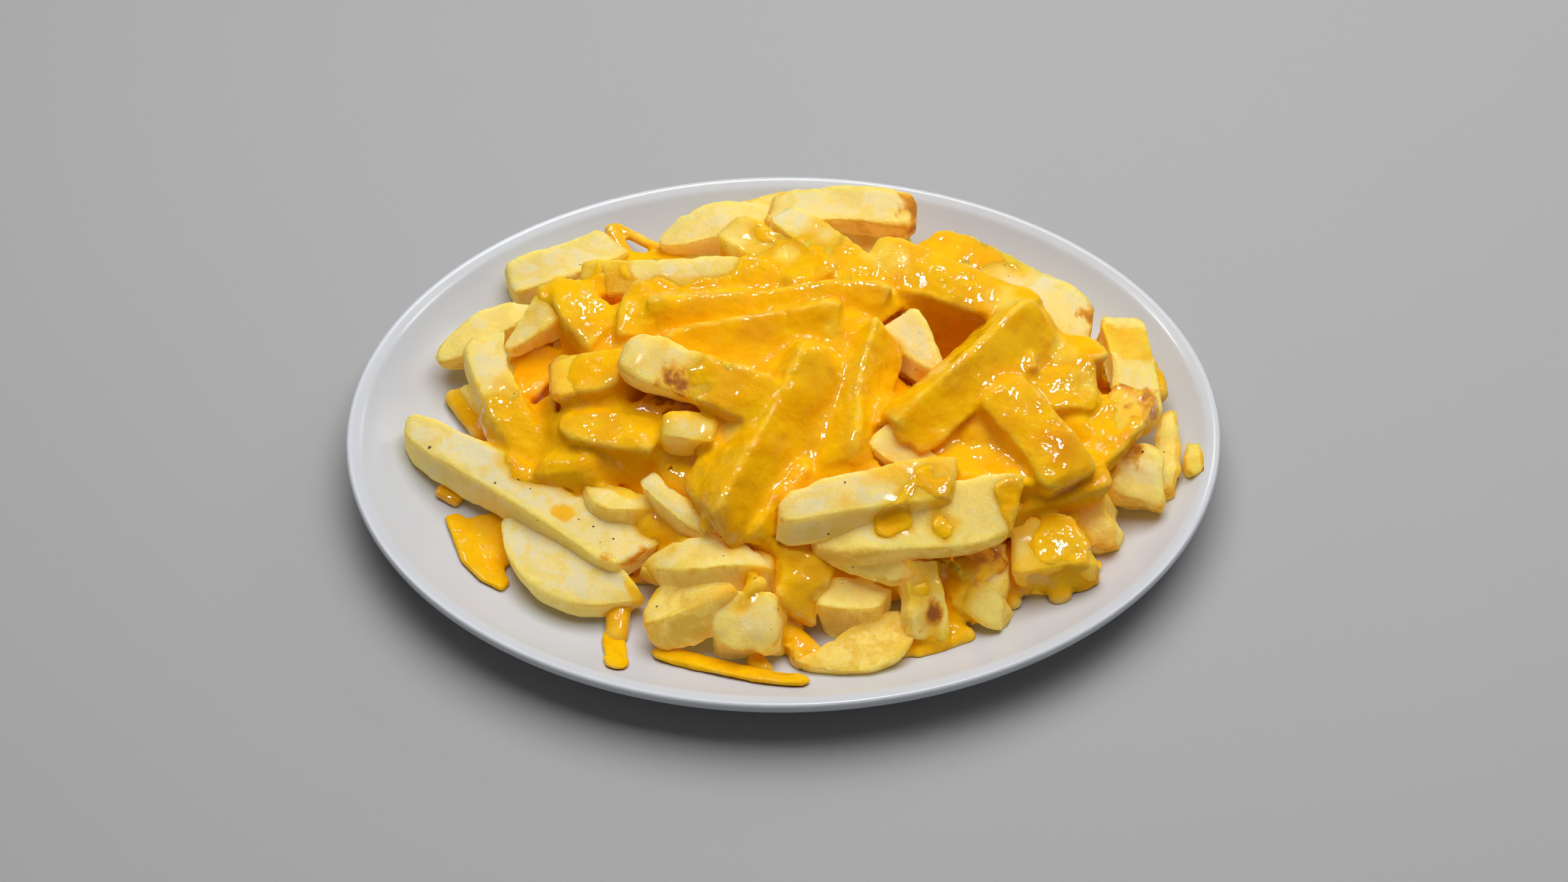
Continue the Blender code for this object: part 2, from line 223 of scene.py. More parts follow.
# the crease colour is painted shade, laid on creases and on cheese that hangs in the dark gaps
cheeseLooks = {
    "bright": (1.0, 0.525, 0.002), "deep": (0.95, 0.44, 0.001), "fatty": (1.0, 0.60, 0.012),
    "thick": (0.94, 0.40, 0.001), "creaseShade": (0.68, 0.17, 0.001), "sheer": (0.97, 0.68, 0.10),
    "thickShare": 0.4, "creaseShare": 0.9, "sheerShare": (0.25, 0.9),
    "glints": (0.15, 1.0), "roughness": (0.30, 0.48),
}


def makeCheeseMaterial():
    # attribute "melt": red is how thick the cheese lies, green how deep in a crease or how far into a dark
    # gap it hangs, which gets painted shade, blue how far out on a ridge
    shade = Shader("meltedCheese", IOR=1.40, Specular_IOR_Level=0.04, Coat_Roughness=0.05, Coat_IOR=1.6,
                   Subsurface_Weight=0.5, Subsurface_Scale=0.0022, Subsurface_Radius=(1.0, 0.80, 0.15))
    looks = cheeseLooks
    thick, creaseShade, ridge = shade.attribute("melt")
    cloudy = shade.ramp(shade.noise(75.0, 4.0, 0.6, 0.5), 0.38, 0.62)
    colour = shade.mix(cloudy, looks["bright"], looks["deep"])
    fatty = shade.ramp(shade.noise(300.0, 3.0, 0.7), 0.56, 0.74, 0.0, 0.4)
    colour = shade.mix(fatty, colour, looks["fatty"])
    # thick cheese goes deeper orange, partly as a thick layer's own colour and partly as painted shade, since
    # the thickest cheese fills the creases
    colour = shade.mix(shade.maths("MULTIPLY", thick, looks["thickShare"]), colour, looks["thick"])
    # painted shade: creases and the cheese that hangs in gaps go a dark red orange
    colour = shade.mix(shade.maths("MULTIPLY", creaseShade, looks["creaseShare"]), colour, looks["creaseShade"])
    # on ridges it is so thin that the pale potato shows through
    sheer = shade.ramp(shade.noise(110.0, 3.0, 0.6), 0.36, 0.60, *looks["sheerShare"])
    colour = shade.mix(shade.maths("MULTIPLY", ridge, sheer), colour, looks["sheer"])
    shade.link(colour, "Base Color")
    # wet glints come in patches, the rest has only a faint sheen
    shade.link(shade.ramp(shade.noise(50.0, 3.0, 0.6), 0.46, 0.56, *looks["glints"]), "Coat Weight")
    shade.bump((shade.noise(130.0, 2.0, 0.5), 0.0012, 0.7), (shade.noise(420.0, 2.0, 0.5), 0.0003, 0.7),
               socket="Coat Normal")
    shade.link(shade.ramp(shade.noise(170.0, 3.0), 0.35, 0.7, *looks["roughness"]), "Roughness")
    shade.bump((shade.noise(140.0, 3.0, 0.6), 0.0014, 0.6), (shade.noise(420.0, 2.0, 0.5), 0.0006, 0.4))
    return shade.material


chipLooks = {
    "cut": (0.80, 0.72, 0.45), "golden": (0.95, 0.71, 0.18), "deepGold": (0.76, 0.49, 0.06),
    "waxy": (0.86, 0.65, 0.15), "floury": (0.88, 0.80, 0.52),
    "wet": (0.94, 0.60, 0.04), "wetter": (0.90, 0.48, 0.008),
    "toasted": (0.74, 0.34, 0.02), "burnt": (0.40, 0.13, 0.02), "speck": (0.16, 0.06, 0.012),
    "glow": 0.20,            # stands in for the light that comes through the potato's golden sides
    "mottle": 0.28, "waxyMost": 0.75, "flouryMost": 0.28, "brownLeast": 0.45,
    "roughness": (0.55, 0.30),
}


def makeChipMaterial():
    # attribute "fry": red is how golden a place is, with painted light on the sides, green how wet with
    # cheese, blue how browned
    shade = Shader("friedPotato", IOR=1.4, Specular_IOR_Level=0.22, Coat_Roughness=0.08,
                   Subsurface_Weight=0.90, Subsurface_Scale=0.0070, Subsurface_Radius=(1.0, 0.90, 0.45))
    looks = chipLooks
    golden, wet, brown = shade.attribute("fry")
    mottle = shade.ramp(shade.noise(62.0, 5.0, 0.62, 1.2), 0.38, 0.62)
    # painted light: the potato glows as much as it is golden, most on its sides
    shade.link(shade.maths("MULTIPLY", golden, looks["glow"]), "Emission Strength")
    golden = shade.maths("ADD", golden, shade.maths("MULTIPLY", mottle, looks["mottle"]))
    colour = shade.mix(shade.ramp(golden, 0.0, 0.6), looks["cut"], looks["golden"])
    colour = shade.mix(shade.ramp(golden, 0.62, 1.0), colour, looks["deepGold"])
    # waxy greenish yellow blotches, and a paler floury grain
    blotch = shade.ramp(shade.noise(120.0, 4.0, 0.55, 0.8), 0.49, 0.60, 0.0, looks["waxyMost"])
    colour = shade.mix(blotch, colour, looks["waxy"])
    grain = shade.ramp(shade.noise(620.0, 3.0, 0.7), 0.50, 0.70, 0.0, looks["flouryMost"])
    colour = shade.mix(grain, colour, looks["floury"])
    colour = shade.mix(wet, colour, shade.mix(mottle, looks["wet"], looks["wetter"]))
    patchy = shade.ramp(shade.noise(260.0, 4.0, 0.65), 0.30, 0.62)
    browned = shade.maths("MULTIPLY", brown, shade.ramp(patchy, 0.0, 1.0, looks["brownLeast"], 1.0))
    colour = shade.mix(shade.ramp(browned, 0.05, 0.55), colour, looks["toasted"])
    colour = shade.mix(shade.ramp(browned, 0.45, 0.95), colour, looks["burnt"])
    speck = shade.ramp(shade.voronoi(230.0), 0.085, 0.05, 0.0, 1.0)
    rare = shade.ramp(shade.noise(75.0, 1.0), 0.58, 0.64)
    colour = shade.mix(shade.maths("MULTIPLY", speck, rare), colour, looks["speck"])
    shade.link(colour, "Emission Color")
    shade.link(colour, "Base Color")
    shade.link(shade.ramp(wet, 0.0, 0.8, *looks["roughness"]), "Roughness")
    glints = shade.ramp(shade.noise(110.0, 2.0, 0.5), 0.50, 0.62, 0.0, 0.9)
    shade.link(shade.maths("MULTIPLY", wet, glints), "Coat Weight")
    shade.bump((shade.noise(240.0, 5.0, 0.65), 0.0011, 0.7), (shade.noise(1100.0, 3.0, 0.7), 0.0004, 0.8))
    return shade.material


def makeSpeckMaterial():
    shade = Shader("burntSpeck", Roughness=0.6)
    shade.link(shade.mix(shade.noise(900.0), (0.05, 0.018, 0.006), (0.20, 0.06, 0.015)), "Base Color")
    shade.bump((shade.noise(1500.0), 0.0003, 0.5))
    return shade.material


def makeFloorMaterial():
    shade = Shader("floor", Roughness=0.75, Specular_IOR_Level=0.15)
    shade.link(shade.mix(shade.noise(3.0), (0.415, 0.415, 0.415), (0.43, 0.43, 0.43)), "Base Color")
    return shade.material


plateGlaze = makePlateMaterial()
meltedCheese = makeCheeseMaterial()
friedPotato = makeChipMaterial()
burntSpeck = makeSpeckMaterial()


# the plate, with the CAD's profile and finer steps

plate = {
    "length": 305.0, "width": 237.0, "sides": 256,
    "floorTop": 5.0, "floorUnder": 1.8,
    "floorRings": (72.0, 45.0, 27.0, 13.5, 4.5),   # how far in from the foot of the wall
    "lipBreadth": 5.0,
    # the last of the wall, which turns over the edge: inset and height
    "lip": (
        (4.2, 20.98), (3.4, 21.34), (2.7, 21.64), (2.1, 21.86), (1.6, 21.98), (1.15, 22.0), (0.75, 21.9),
        (0.42, 21.65), (0.18, 21.25), (0.04, 20.7), (0.0, 20.1), (0.08, 19.4), (0.3, 18.6), (0.7, 17.8),
    ),
    "wallTop": 20.6, "wallReach": 32.0, "wallCurve": 1.6, "wallSteps": 26,
    "underStart": (1.2, 17.0), "underReach": 36.0,
    "footInset": 44.5, "footBreadth": 5.5, "footSlope": 1.5, "footRound": (0.5, 0.3),
    "underMiddle": 30.0,     # the last ring under the plate, in from the foot
    "halvings": 22,
}


# how far the food stays above it
plateGap = {"chips": 0.25, "turns": 0.15, "skin": 0.12, "loose": 0.1}


def wallHeight(inset):
    inner = plate["lipBreadth"]
    left = 1 - np.clip((inset - inner) / (plate["wallReach"] - inner), 0.0, 1.0)
    return plate["floorTop"] + (plate["wallTop"] - plate["floorTop"]) * left ** plate["wallCurve"]


def insetAt(x, y):
    # how far inside the plate's edge each place is, by halving the range
    near = np.zeros_like(x)
    far = np.full_like(x, plate["width"] / 2 - 1)
    for _ in range(plate["halvings"]):
        middle = (near + far) / 2
        across = (x / (plate["length"] / 2 - middle)) ** 2 + (y / (plate["width"] / 2 - middle)) ** 2
        near = np.where(across < 1, middle, near)
        far = np.where(across < 1, far, middle)
    return near


def plateTop(points):
    points = np.asarray(points, float)
    return wallHeight(insetAt(points[:, 0], points[:, 1]))


def abovePlate(points, gap):
    # lifts what would dip into the plate to a gap above it
    points[:, 2] = np.maximum(points[:, 2], plateTop(points) + gap)


def buildPlate():
    profile = [(plate["wallReach"] + ring, plate["floorTop"]) for ring in plate["floorRings"]]
    inner = plate["lipBreadth"]
    for step in range(plate["wallSteps"] + 1):
        inset = plate["wallReach"] + (inner - plate["wallReach"]) * step / plate["wallSteps"]
        profile.append((inset, float(wallHeight(inset))))
    profile += plate["lip"]
    startInset, startHeight = plate["underStart"]
    for step in range(1, plate["wallSteps"] + 1):
        share = step / plate["wallSteps"]
        inset = startInset + (plate["underReach"] - startInset) * share
        height = plate["floorUnder"] + (startHeight - plate["floorUnder"]) * (1 - share) ** plate["wallCurve"]
        profile.append((inset, height))
    foot = plate["footInset"]
    inside = foot + plate["footBreadth"]
    slope = plate["footSlope"]
    under = plate["floorUnder"]
    turn, lift = plate["footRound"]
    profile += [(foot - slope, under), (foot - turn, lift), (foot, 0.0), (inside, 0.0), (inside + turn, lift)]
    profile += [(inside + slope, under), (inside + plate["underMiddle"], under)]
    points = []
    for inset, height in profile:
        for side in range(plate["sides"]):
            angle = math.tau * side / plate["sides"]
            x = (plate["length"] / 2 - inset) * math.cos(angle)
            y = (plate["width"] / 2 - inset) * math.sin(angle)
            points.append((x, y, height))
    return meshObject("ovalPlate", points, gridFaces(len(profile), plate["sides"]), [plateGlaze])


ovalPlate = buildPlate()
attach(ovalPlate, "root")
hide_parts("plate")
print("plate made:", len(ovalPlate.data.polygons), "faces")


# the cheese that fills the heap, and its drips

skin = {
    "voxel": 1.25, "softFactor": 0.5,
    "remeshRounds": (3, 1),  # smoothing after the first remesh and after the last
    "chipStep": 2.6,         # spacing of the coarse chips that carry it
    "reach": 7.0,            # how far from a chip distances are measured
    "rodRings": 10, "rodSides": 12,
    # how far a rod goes past its ends, in radii, how bluntly it ends, and its smallest share
    "rodPast": 0.5, "rodPower": 0.35, "rodLeast": 0.05,
    "coreCentre": (2.0, 6.0), "coreHalf": (106.0, 74.0), "coreRings": 34, "coreSides": 110,
    "coreWave": 0.05, "coreFloor": 3.0,
    "sink": 4.2, "bareSink": 10.0,
    "gridX": (-130.0, 134.0), "gridY": (-96.0, 108.0), "gridStep": 2.0,
    "closing": 6.5, "softRounds": 4,     # gaps narrower than twice the closing fill up
    "coreGap": 1.0,          # least height of the blanket above the plate
    # dark gaps: how deep, and from where to where, in radii, they open, stay unfilled and take painted shade
    "gapDepth": 12.0, "gapOpen": (0.5, 1.3), "gapUnfilled": (0.6, 1.4), "gapShade": (0.6, 1.3),
    "carries": 0.3,          # chips less covered than this carry no skin
    "spotted": (5, 52),      # bare chips, by their row, that still carry a spot of cheese
    "fillRounds": 90, "fillMost": 6.0,   # how far creases between covered chips fill up
    "turns": 4, "fillTurn": 1, "stepShare": 0.8, "stepMost": (-3.0, 2.0), "pullReach": 2.6,
    "creaseRounds": 45,      # smoothing that tells creases from ridges, for the colours
    "evened": {"rise": 2, "bridge": 4, "buried": 2},     # rounds of averaging over neighbours
    "ripples": ((11.0, 0.42), (5.0, 0.34), (2.6, 0.12)),   # size and height
    "buried": -0.8,          # deeper in a chip than this, the skin is taken away
    "bridge": 3.4,           # further from every chip than this, it stays closed
    "fewest": 110,           # smaller loose bits, in faces, are dropped
    "rimRounds": 4,
    # from where to where a place takes the painted shade of creases and gaps, the pale colour of ridges and
    # the deeper colour of thick cheese, which is partly painted shade
    "creased": (0.25, 2.4), "ridged": (0.35, 2.0), "hanging": (0.3, 2.0), "thick": (0.8, 4.5),
    # place and radius of the dark gaps
    "gaps": (
        ((-86, 22), 9.0), ((-80, 16), 6.0), ((-60, 50), 5.0), ((43, 46), 6.0), ((18, 30), 4.0),
        ((42, 18), 6.0), ((-51, 5), 6.0), ((92, -33), 10.0), ((76, -46), 6.0), ((57, -53), 5.0),
        ((0, -49), 5.0), ((110, 8), 5.0), ((84, -17), 4.0), ((116, -20), 5.0), ((-52, 86), 5.0),
    ),
    # drips and strands: start, end, radius
    "drips": (
        ((-62.5, 92, 21), (-54, 76, 19), 1.9),
        ((-61, 93.5, 21), (-37, 79, 19), 1.4),
        ((93, -52, 22), (93, -66, 9), 3.2),
        ((100, -45, 14), (100.5, -65, 7), 2.4),
        ((76, -47, 12), (77, -67, 7), 2.2),
        ((39, -87, 7), (58, -79, 7), 2.6),
        ((44, -87.5, 6.5), (60, -81, 6.5), 3.0),
        ((50, -81, 6.5), (55, -79, 7), 3.5),
        ((-0.5, -79, 8), (8, -88, 7), 3.6),
        ((106, 4, 34), (109, -3, 32), 2.2),
        ((-9, -72, 25), (-15, -78, 21), 2.4),
        ((-10, -92, 8), (-8, -95, 8), 3.0),
        ((131, 18, 23), (132, 11, 22), 2.6),
        ((0, -77, 9), (5, -90, 7), 3.2),
        ((-56, -66, 9), (-57, -79, 6.5), 3.4),
        ((57, -59, 20), (57, -75, 9), 3.0),
        ((130, 24, 20), (130, 14, 20), 3.0),
        ((-117.5, 23, 8), (-106, 5, 9), 2.6),
        # thick places between the bars
        ((64, 0, 36), (66, -18, 33), 8.5),
        ((58, -30, 31), (80, -31, 28), 8.0),
        ((-36, -27, 23), (-20, -37, 24), 7.0),
        ((-18, -44, 22), (-8, -50, 22), 6.0),
        ((-45, -42, 17), (-30, -50, 17), 6.0),
        ((-45, -20, 22), (-34, -28, 22), 5.0),
        ((6, -57, 19), (14, -56, 19), 5.0),
        ((52, -60, 15), (66, -48, 16), 4.0),
        ((-101, -10, 15), (-90, -22, 17), 6.0),
        ((-60, -3, 28), (-48, -8, 28), 6.0),
        ((86, 10, 34), (92, 0, 33), 8.0),
        ((100, -10, 30), (106, -16, 27), 6.0),
    ),
}


# the chips

Chip = namedtuple("Chip", "form start end width depth roll bend arch coverStart coverEnd golden browned")
chips = {
    "step": 1.4,             # spacing of the mesh
    "coatedStep": 2.2,       # the same for chips that cheese hides
    "coatedFrom": 0.8,       # both ends at least so covered
    "firstSeed": 100,
    "corner": 0.75,          # radius of the cut edges
    "cornerMost": 0.2,       # the same as a share of a thin chip
    "leastWide": 2.2,        # the narrowest section, in radii of its corners
    "leastSteps": 3, "leastRings": 8,
    "edgeFrom": 0.62,        # where on a side the colour of its edge starts, as a share of half the side
    "sideways": (-0.4, 0.8),     # heights of a normal between which a face counts as a side
    "slant": 0.42,           # how far the ends may lean, as a slope
    "trapeze": 0.17,         # how far a section may differ from a rectangle
    "bulge": (-0.7, 0.9),    # how far the faces sink or swell
    "taper": 0.13,
    "twist": 16.0,           # degrees from end to end
    "snake": 1.2,            # how far the middle line strays sideways
    "fullTwist": 50, "fullSnake": 60,    # shorter chips have less of the two
    "wobble": (0.04, 5.1),   # how much the width varies along the chip, and how fast
    "fan": 0.45,             # the share of the length that follows a leaning end
    "tuck": (0.07, 0.8),     # how the ends round off: share and distance
    "capRings": (0.35, 0.68, 0.9),
    "endReach": 3.0,
    "rough": ((24.0, 1.3), (8.0, 0.5), (3.2, 0.2)),
    "nibble": (1.0, 3.4),    # how deep the cut edges are chipped, and the size of the notches
    # what turns a place golden, on top of its row's own tone, and what browns it; the golden of the sides is
    # painted light
    "tones": {"end": 0.2, "side": 0.42, "edge": 0.35},
    "browns": {"edge": 0.5, "end": 1.1},
    "craggy": (7, 9, 10, 13, 14, 15, 16, 17, 19, 21, 23),
    "craggyRough": ((13.0, 1.9), (5.5, 1.0), (2.2, 0.28)),
    "forms": {
        "bar": ((0.0, 0.86), (0.06, 0.98), (0.5, 1.0), (0.94, 0.98), (1.0, 0.86)),
        "moon": (
            (0.0, 0.16), (0.08, 0.45), (0.22, 0.76), (0.5, 1.0), (0.78, 0.76), (0.92, 0.45), (1.0, 0.16),
        ),
        "point": ((0.0, 0.80), (0.1, 1.0), (0.5, 0.86), (0.85, 0.5), (1.0, 0.18)),
        "block": ((0.0, 0.84), (0.12, 0.98), (0.5, 1.0), (0.88, 0.98), (1.0, 0.84)),
    },
    # what single chips have of their own, by their place in the rows: widths along them, how far the
    # start and the end lean sideways and upwards, taper, depth, and how straight one side stays
    "cuts": {
        0: {"slants": (0.1, 0.1, -0.4, 0.0)},
        2: {"wide": ((0.0, 0.22), (0.3, 0.62), (0.7, 1.05), (1.0, 1.1)), "slants": (0, 0, -0.3, 0)},
        3: {"slants": (0.0, 0.2, 0.3, 0.0), "taper": 0.05},
        5: {"wide": ((0.0, 0.42), (0.04, 0.74), (0.12, 0.94), (0.3, 1.0), (0.7, 1.0), (0.93, 1.12),
                     (1.0, 1.0)), "slants": (-0.5, 0.0, 0.35, 0.1), "taper": 0.0},
        6: {"wide": ((0.0, 0.10), (0.06, 0.34), (0.16, 0.66), (0.32, 0.93), (0.5, 1.0), (0.68, 0.93),
                     (0.84, 0.66), (0.94, 0.34), (1.0, 0.10)), "slants": (0, 0, 0, 0), "taper": 0.0},
        7: {"wide": ((0.0, 0.8), (0.3, 1.05), (0.6, 0.95), (0.85, 0.75), (1.0, 0.5))},
        12: {"wide": ((0.0, 0.12), (0.1, 0.42), (0.25, 0.72), (0.5, 0.98), (0.75, 1.0), (0.92, 0.85),
                      (1.0, 0.6)), "slants": (0, 0, 0, 0), "flat": 0.5},
        13: {"wide": ((0.0, 0.35), (0.15, 0.8), (0.4, 1.0), (0.7, 0.85), (0.9, 0.5), (1.0, 0.2)),
             "deep": 0.8},
        14: {"wide": ((0.0, 0.85), (0.5, 1.0), (1.0, 1.0)), "slants": (0.3, 0.2, 0.0, 0.1)},
        16: {"wide": ((0.0, 1.0), (0.4, 0.9), (0.75, 0.55), (1.0, 0.15))},
        19: {"wide": ((0.0, 0.7), (0.25, 1.05), (0.5, 0.75), (0.75, 0.95), (1.0, 0.6))},
        20: {"slants": (0.0, 0.0, 0.0, 0.0), "taper": -0.05},
        21: {"slants": (0.0, 0.1, 0.3, 0.0)},
        22: {"wide": ((0.0, 0.95), (0.3, 1.05), (0.7, 0.8), (1.0, 0.35))},
        23: {"wide": ((0.0, 0.6), (0.3, 0.9), (0.7, 1.0), (1.0, 0.7))},
        24: {"slants": (0.0, 0.0, 0.1, 0.1), "taper": 0.05},
        28: {"slants": (0.3, 0.0, 0.2, 0.0), "taper": -0.1},
        29: {"slants": (0.3, 0.0, -0.4, 0.0), "taper": -0.12},
        30: {"slants": (0.1, 0.0, 0.0, 0.0)},
        35: {"wide": ((0.0, 0.7), (0.15, 0.95), (0.8, 1.0), (0.95, 0.85), (1.0, 0.55)), "deep": 0.85,
             "slants": (0.3, 0.0, 0.0, 0.1), "taper": 0.05},
        39: {"wide": ((0.0, 0.55), (0.06, 0.9), (0.18, 1.08), (0.5, 1.0), (1.0, 0.85)),
             "slants": (0, 0, 0, 0)},
        40: {"slants": (0.0, 0.0, 0.0, 0.0), "taper": 0.0},
        42: {"wide": ((0.0, 1.1), (0.4, 1.0), (0.75, 0.7), (1.0, 0.25))},
        43: {"wide": ((0.0, 0.45), (0.2, 0.8), (0.6, 1.0), (1.0, 0.9)), "deep": 0.9},
        44: {"wide": ((0.0, 0.5), (0.2, 0.9), (0.6, 1.0), (1.0, 0.8)), "deep": 0.8},
        45: {"deep": 0.75},
        51: {"wide": ((0.0, 0.6), (0.08, 0.88), (0.25, 1.0), (0.8, 0.95), (1.0, 0.8)), "deep": 0.9},
        52: {"wide": ((0.0, 0.5), (0.1, 0.85), (0.3, 1.0), (0.85, 1.05), (1.0, 0.9)),
             "slants": (0, 0.3, 0.35, 0.2)},
    },
    # in the order of the names of a chip: roll is in degrees, bend goes sideways and arch upwards; the
    # last four are how covered the start and the end are, how golden it is, and how browned its edges are
    "rows": (
        # outer ring on the left, from back to front
        ("bar", (-99, 66, 18), (-60, 83, 20), 14, 12, 0, 0, 0, 0.0, 0.15, 0.1, 0.1),
        ("moon", (-122, 32, 17), (-88, 50, 22), 15, 12, 10, 3, 0, 0.0, 0.0, 0.3, 0.2),
        ("point", (-98, 31, 24), (-72, 52, 31), 14, 12, 0, 0, 0, 0.0, 0.8, 0.2, 0.1),
        ("bar", (-105, 38, 23), (-84, -14, 17), 15, 12, 0, -6, 3, -0.2, 1.1, 0.2, 0.1),
        ("bar", (-112, 25, 12), (-93, -7, 11), 8, 9, 0, 0, 0, 0.0, 0.9, 0.7, 0.0),
        ("bar", (-132, 2, 15), (-50, -55, 15), 17, 13, 0, 0, 1, 0.0, 0.0, 0.05, 0.1),
        ("moon", (-97, -36, 11), (-48, -69, 12), 22, 12, 0, -6, 0, 0.0, 0.0, 0.1, 0.12),
        # front, from left to right
        ("point", (-18, -71, 18), (-45, -79, 12), 21, 17, 25, 0, 0, 0.0, 0.0, 0.7, 0.3),
        ("moon", (-48, -61, 19), (-4, -65, 19), 17, 15, 0, 0, 6, 0.3, 0.1, 0.3, 0.2),
        ("block", (-24, -79, 14), (-1, -82, 14), 20, 18, 25, 0, 0, 0.0, 0.1, 0.25, 0.15),
        ("bar", (2, -75, 12), (7, -57, 24), 15, 13, 20, 0, 0, 0.7, 1.0, 0.5, 0.3),
        ("block", (13, -72, 13), (34, -74, 13), 14, 16, 0, 0, 0, 0.1, 0.0, 0.45, 0.2),
        ("moon", (5, -97, 10), (41, -79, 10), 16, 8, 0, -3, 0, 0.0, 0.0, 0.8, 0.25),
        ("moon", (13, -57, 30), (42, -70, 27), 16, 6, 40, 0, 0, 0.0, 0.0, 0.45, 0.3),
        ("bar", (46, -84, 8), (45, -63, 26), 13, 11, 10, 0, 0, 0.0, 0.7, 0.3, 0.2),
        ("block", (60, -68, 13), (74, -76, 10), 12, 11, 20, 0, 0, 0.5, 0.0, 0.3, 0.15),
        ("point", (66, -69, 10), (75, -49, 15), 13, 12, 0, 0, 0, 0.0, 0.1, 0.3, 0.2),
        ("bar", (57, -64, 18), (71, -56, 20), 10, 9, 0, 0, 0, 0.6, 0.3, 0.9, 0.9),
        ("block", (78, -56, 15), (102, -54, 15), 19, 20, 0, 0, 0, 0.4, 0.6, 0.4, 0.2),
        ("block", (105, -28, 15), (110, -48, 10), 14, 14, 30, 0, 0, 0.1, 0.0, 0.55, 0.4),
        # right, from front to back
        ("bar", (120.5, 37, 29), (122.5, -5, 24), 16, 13, 0, 1, 0, 0.0, 0.1, 0.3, 0.15),
        ("block", (122, -13, 22), (122, -33, 14), 16, 14, 0, 0, 0, 0.0, 0.0, 0.3, 0.3),
        ("point", (123, 2, 33), (104, -28, 28), 18, 8, 10, 0, 0, 0.3, 0.8, 0.7, 0.8),
        ("bar", (134, 1, 18), (132, -29, 15), 8, 9, 0, 0, 0, 0.0, 0.0, 0.5, 0.4),
        ("bar", (73, -5, 43), (96, -37, 32), 19, 16, 10, 0, 2, 1.0, 1.0, 0.5, 0.2),
        ("block", (86, -3, 36), (108, 3, 33), 15, 14, 15, 0, 0, 1.0, 0.6, 0.3, 0.1),
        ("block", (90, 13, 36), (110, 17, 34), 14, 14, 0, 0, 0, 1.0, 0.8, 0.3, 0.1),
        ("block", (76, 6, 43), (88, 7, 42), 11, 10, 0, 0, 0, 1.0, 1.0, 0.3, 0.1),
        ("bar", (89, 26, 45), (40, -23, 43), 17, 17, 45, 0, 1, 0.8, 1.0, 0.3, 0.1),
        ("bar", (50, 72, 28), (109, 32, 27), 18, 14, 0, 4, 1, 0.95, -0.25, 0.15, 0.35),
        # upper half of the heap, from right to left
        ("bar", (32, 57, 38), (88, 30, 42), 17, 15, 15, 0, 0, 1.0, 0.8, 0.4, 0.1),
        ("bar", (0, 84, 35), (30, 44, 41), 16, 13, 0, 0, 0, 0.0, 1.0, 0.1, 0.1),
        ("bar", (-18, 80, 30), (13, 47, 39), 16, 14, 0, 0, 0, 0.3, 0.9, 0.3, 0.2),
        ("moon", (-44, 82, 22), (0, 88, 28), 18, 14, 0, 3, 0, 0.0, 0.1, 0.25, 0.1),
        ("bar", (-28, 96, 18), (0, 99, 23), 10, 10, 0, 0, 0, 0.0, 0.1, 0.7, 0.4),
        ("bar", (-4, 90, 31), (49, 87, 33), 15, 14, 10, 0, 2, 0.1, 0.0, 0.25, 0.45),
        ("bar", (-72, 62, 26), (2, 53, 36), 14, 10, 20, 0, 2, 0.6, 0.7, 0.2, 0.1),
        ("bar", (-44, 36, 37), (36, 34, 41), 16, 14, 35, 0, 0, 1.0, 1.0, 0.3, 0.1),
        ("bar", (-37, 13, 40), (20, 23, 46), 17, 16, 35, 0, 0, 1.0, 1.0, 0.3, 0.1),
        ("bar", (-55, 8, 46), (-5, -14, 45), 15, 13, 15, 1, 2, 0.1, 0.8, 0.25, 0.3),
        ("block", (-41, -17, 39), (-23, -19, 38), 12, 15, 20, 0, 0, 0.38, 0.42, 0.2, 0.1),
        ("block", (-78, 7, 32), (-52, 10, 36), 16, 14, 0, 0, 0, 0.5, 1.0, 0.8, 0.6),
        ("point", (-51, 25, 34), (-51, 49, 38), 13, 12, 0, 0, 0, 1.0, 1.0, 0.4, 0.2),
        ("bar", (-79, 55, 32), (-63, 27, 32), 17, 12, 0, 0, 0, 1.0, 1.0, 0.3, 0.1),
        # lower half of the heap, from left to right
        ("bar", (-76, -8, 30), (-43, -20, 33), 14, 13, 0, 0, 0, 1.0, 1.0, 0.3, 0.1),
        ("bar", (-84, -21, 22), (-62, -24, 27), 10, 12, 0, 0, 0, 0.9, 1.0, 0.5, 0.1),
        ("moon", (-69, -29, 22), (-44, -41, 23), 14, 9, -10, -2, 0, 0.15, 0.15, 0.3, 0.2),
        ("bar", (-46, -32, 28), (-18, -54, 26), 9, 10, 0, -3, 0, 0.1, 0.2, 0.2, 0.2),
        ("bar", (10, 10, 45), (-24, -52, 32), 20, 18, 45, 0, 0, 1.0, 1.0, 0.3, 0.1),
        ("bar", (31, 18, 42), (20, -35, 35), 16, 15, 45, 0, 0, 1.0, 1.0, 0.3, 0.1),
        ("point", (30, -21, 40), (57, -37, 35), 13, 10, 20, 0, 0, 0.1, 0.4, 0.25, 0.1),
        ("bar", (-3, -53, 35), (56, -44, 40), 17, 15, 0, 0, 3, 0.05, 0.5, 0.15, 0.2),
        ("bar", (8, -56, 27), (76, -49, 32), 20, 16, 10, -2, 4, 0.1, 0.1, 0.3, 0.2),
        ("bar", (72, -42, 25), (106, -29, 26), 13, 12, 0, 0, 0, 0.6, 0.9, 0.5, 0.2),
        ("point", (-2, -61, 17), (-18, -52, 20), 14, 12, 0, 0, 0, 0.1, 0.5, 0.5, 0.3),
        ("bar", (6, -28, 33), (-12, -53, 27), 13, 12, 20, 0, 0, 1.0, 1.0, 0.3, 0.1),
        ("point", (38, 29, 40), (54, 6, 37), 16, 13, 0, 0, 0, 0.05, 0.3, 0.15, 0.1),
        ("bar", (54, -30, 33), (84, -35, 31), 16, 14, 0, 0, 0, 1.0, 1.0, 0.4, 0.2),
        # underneath
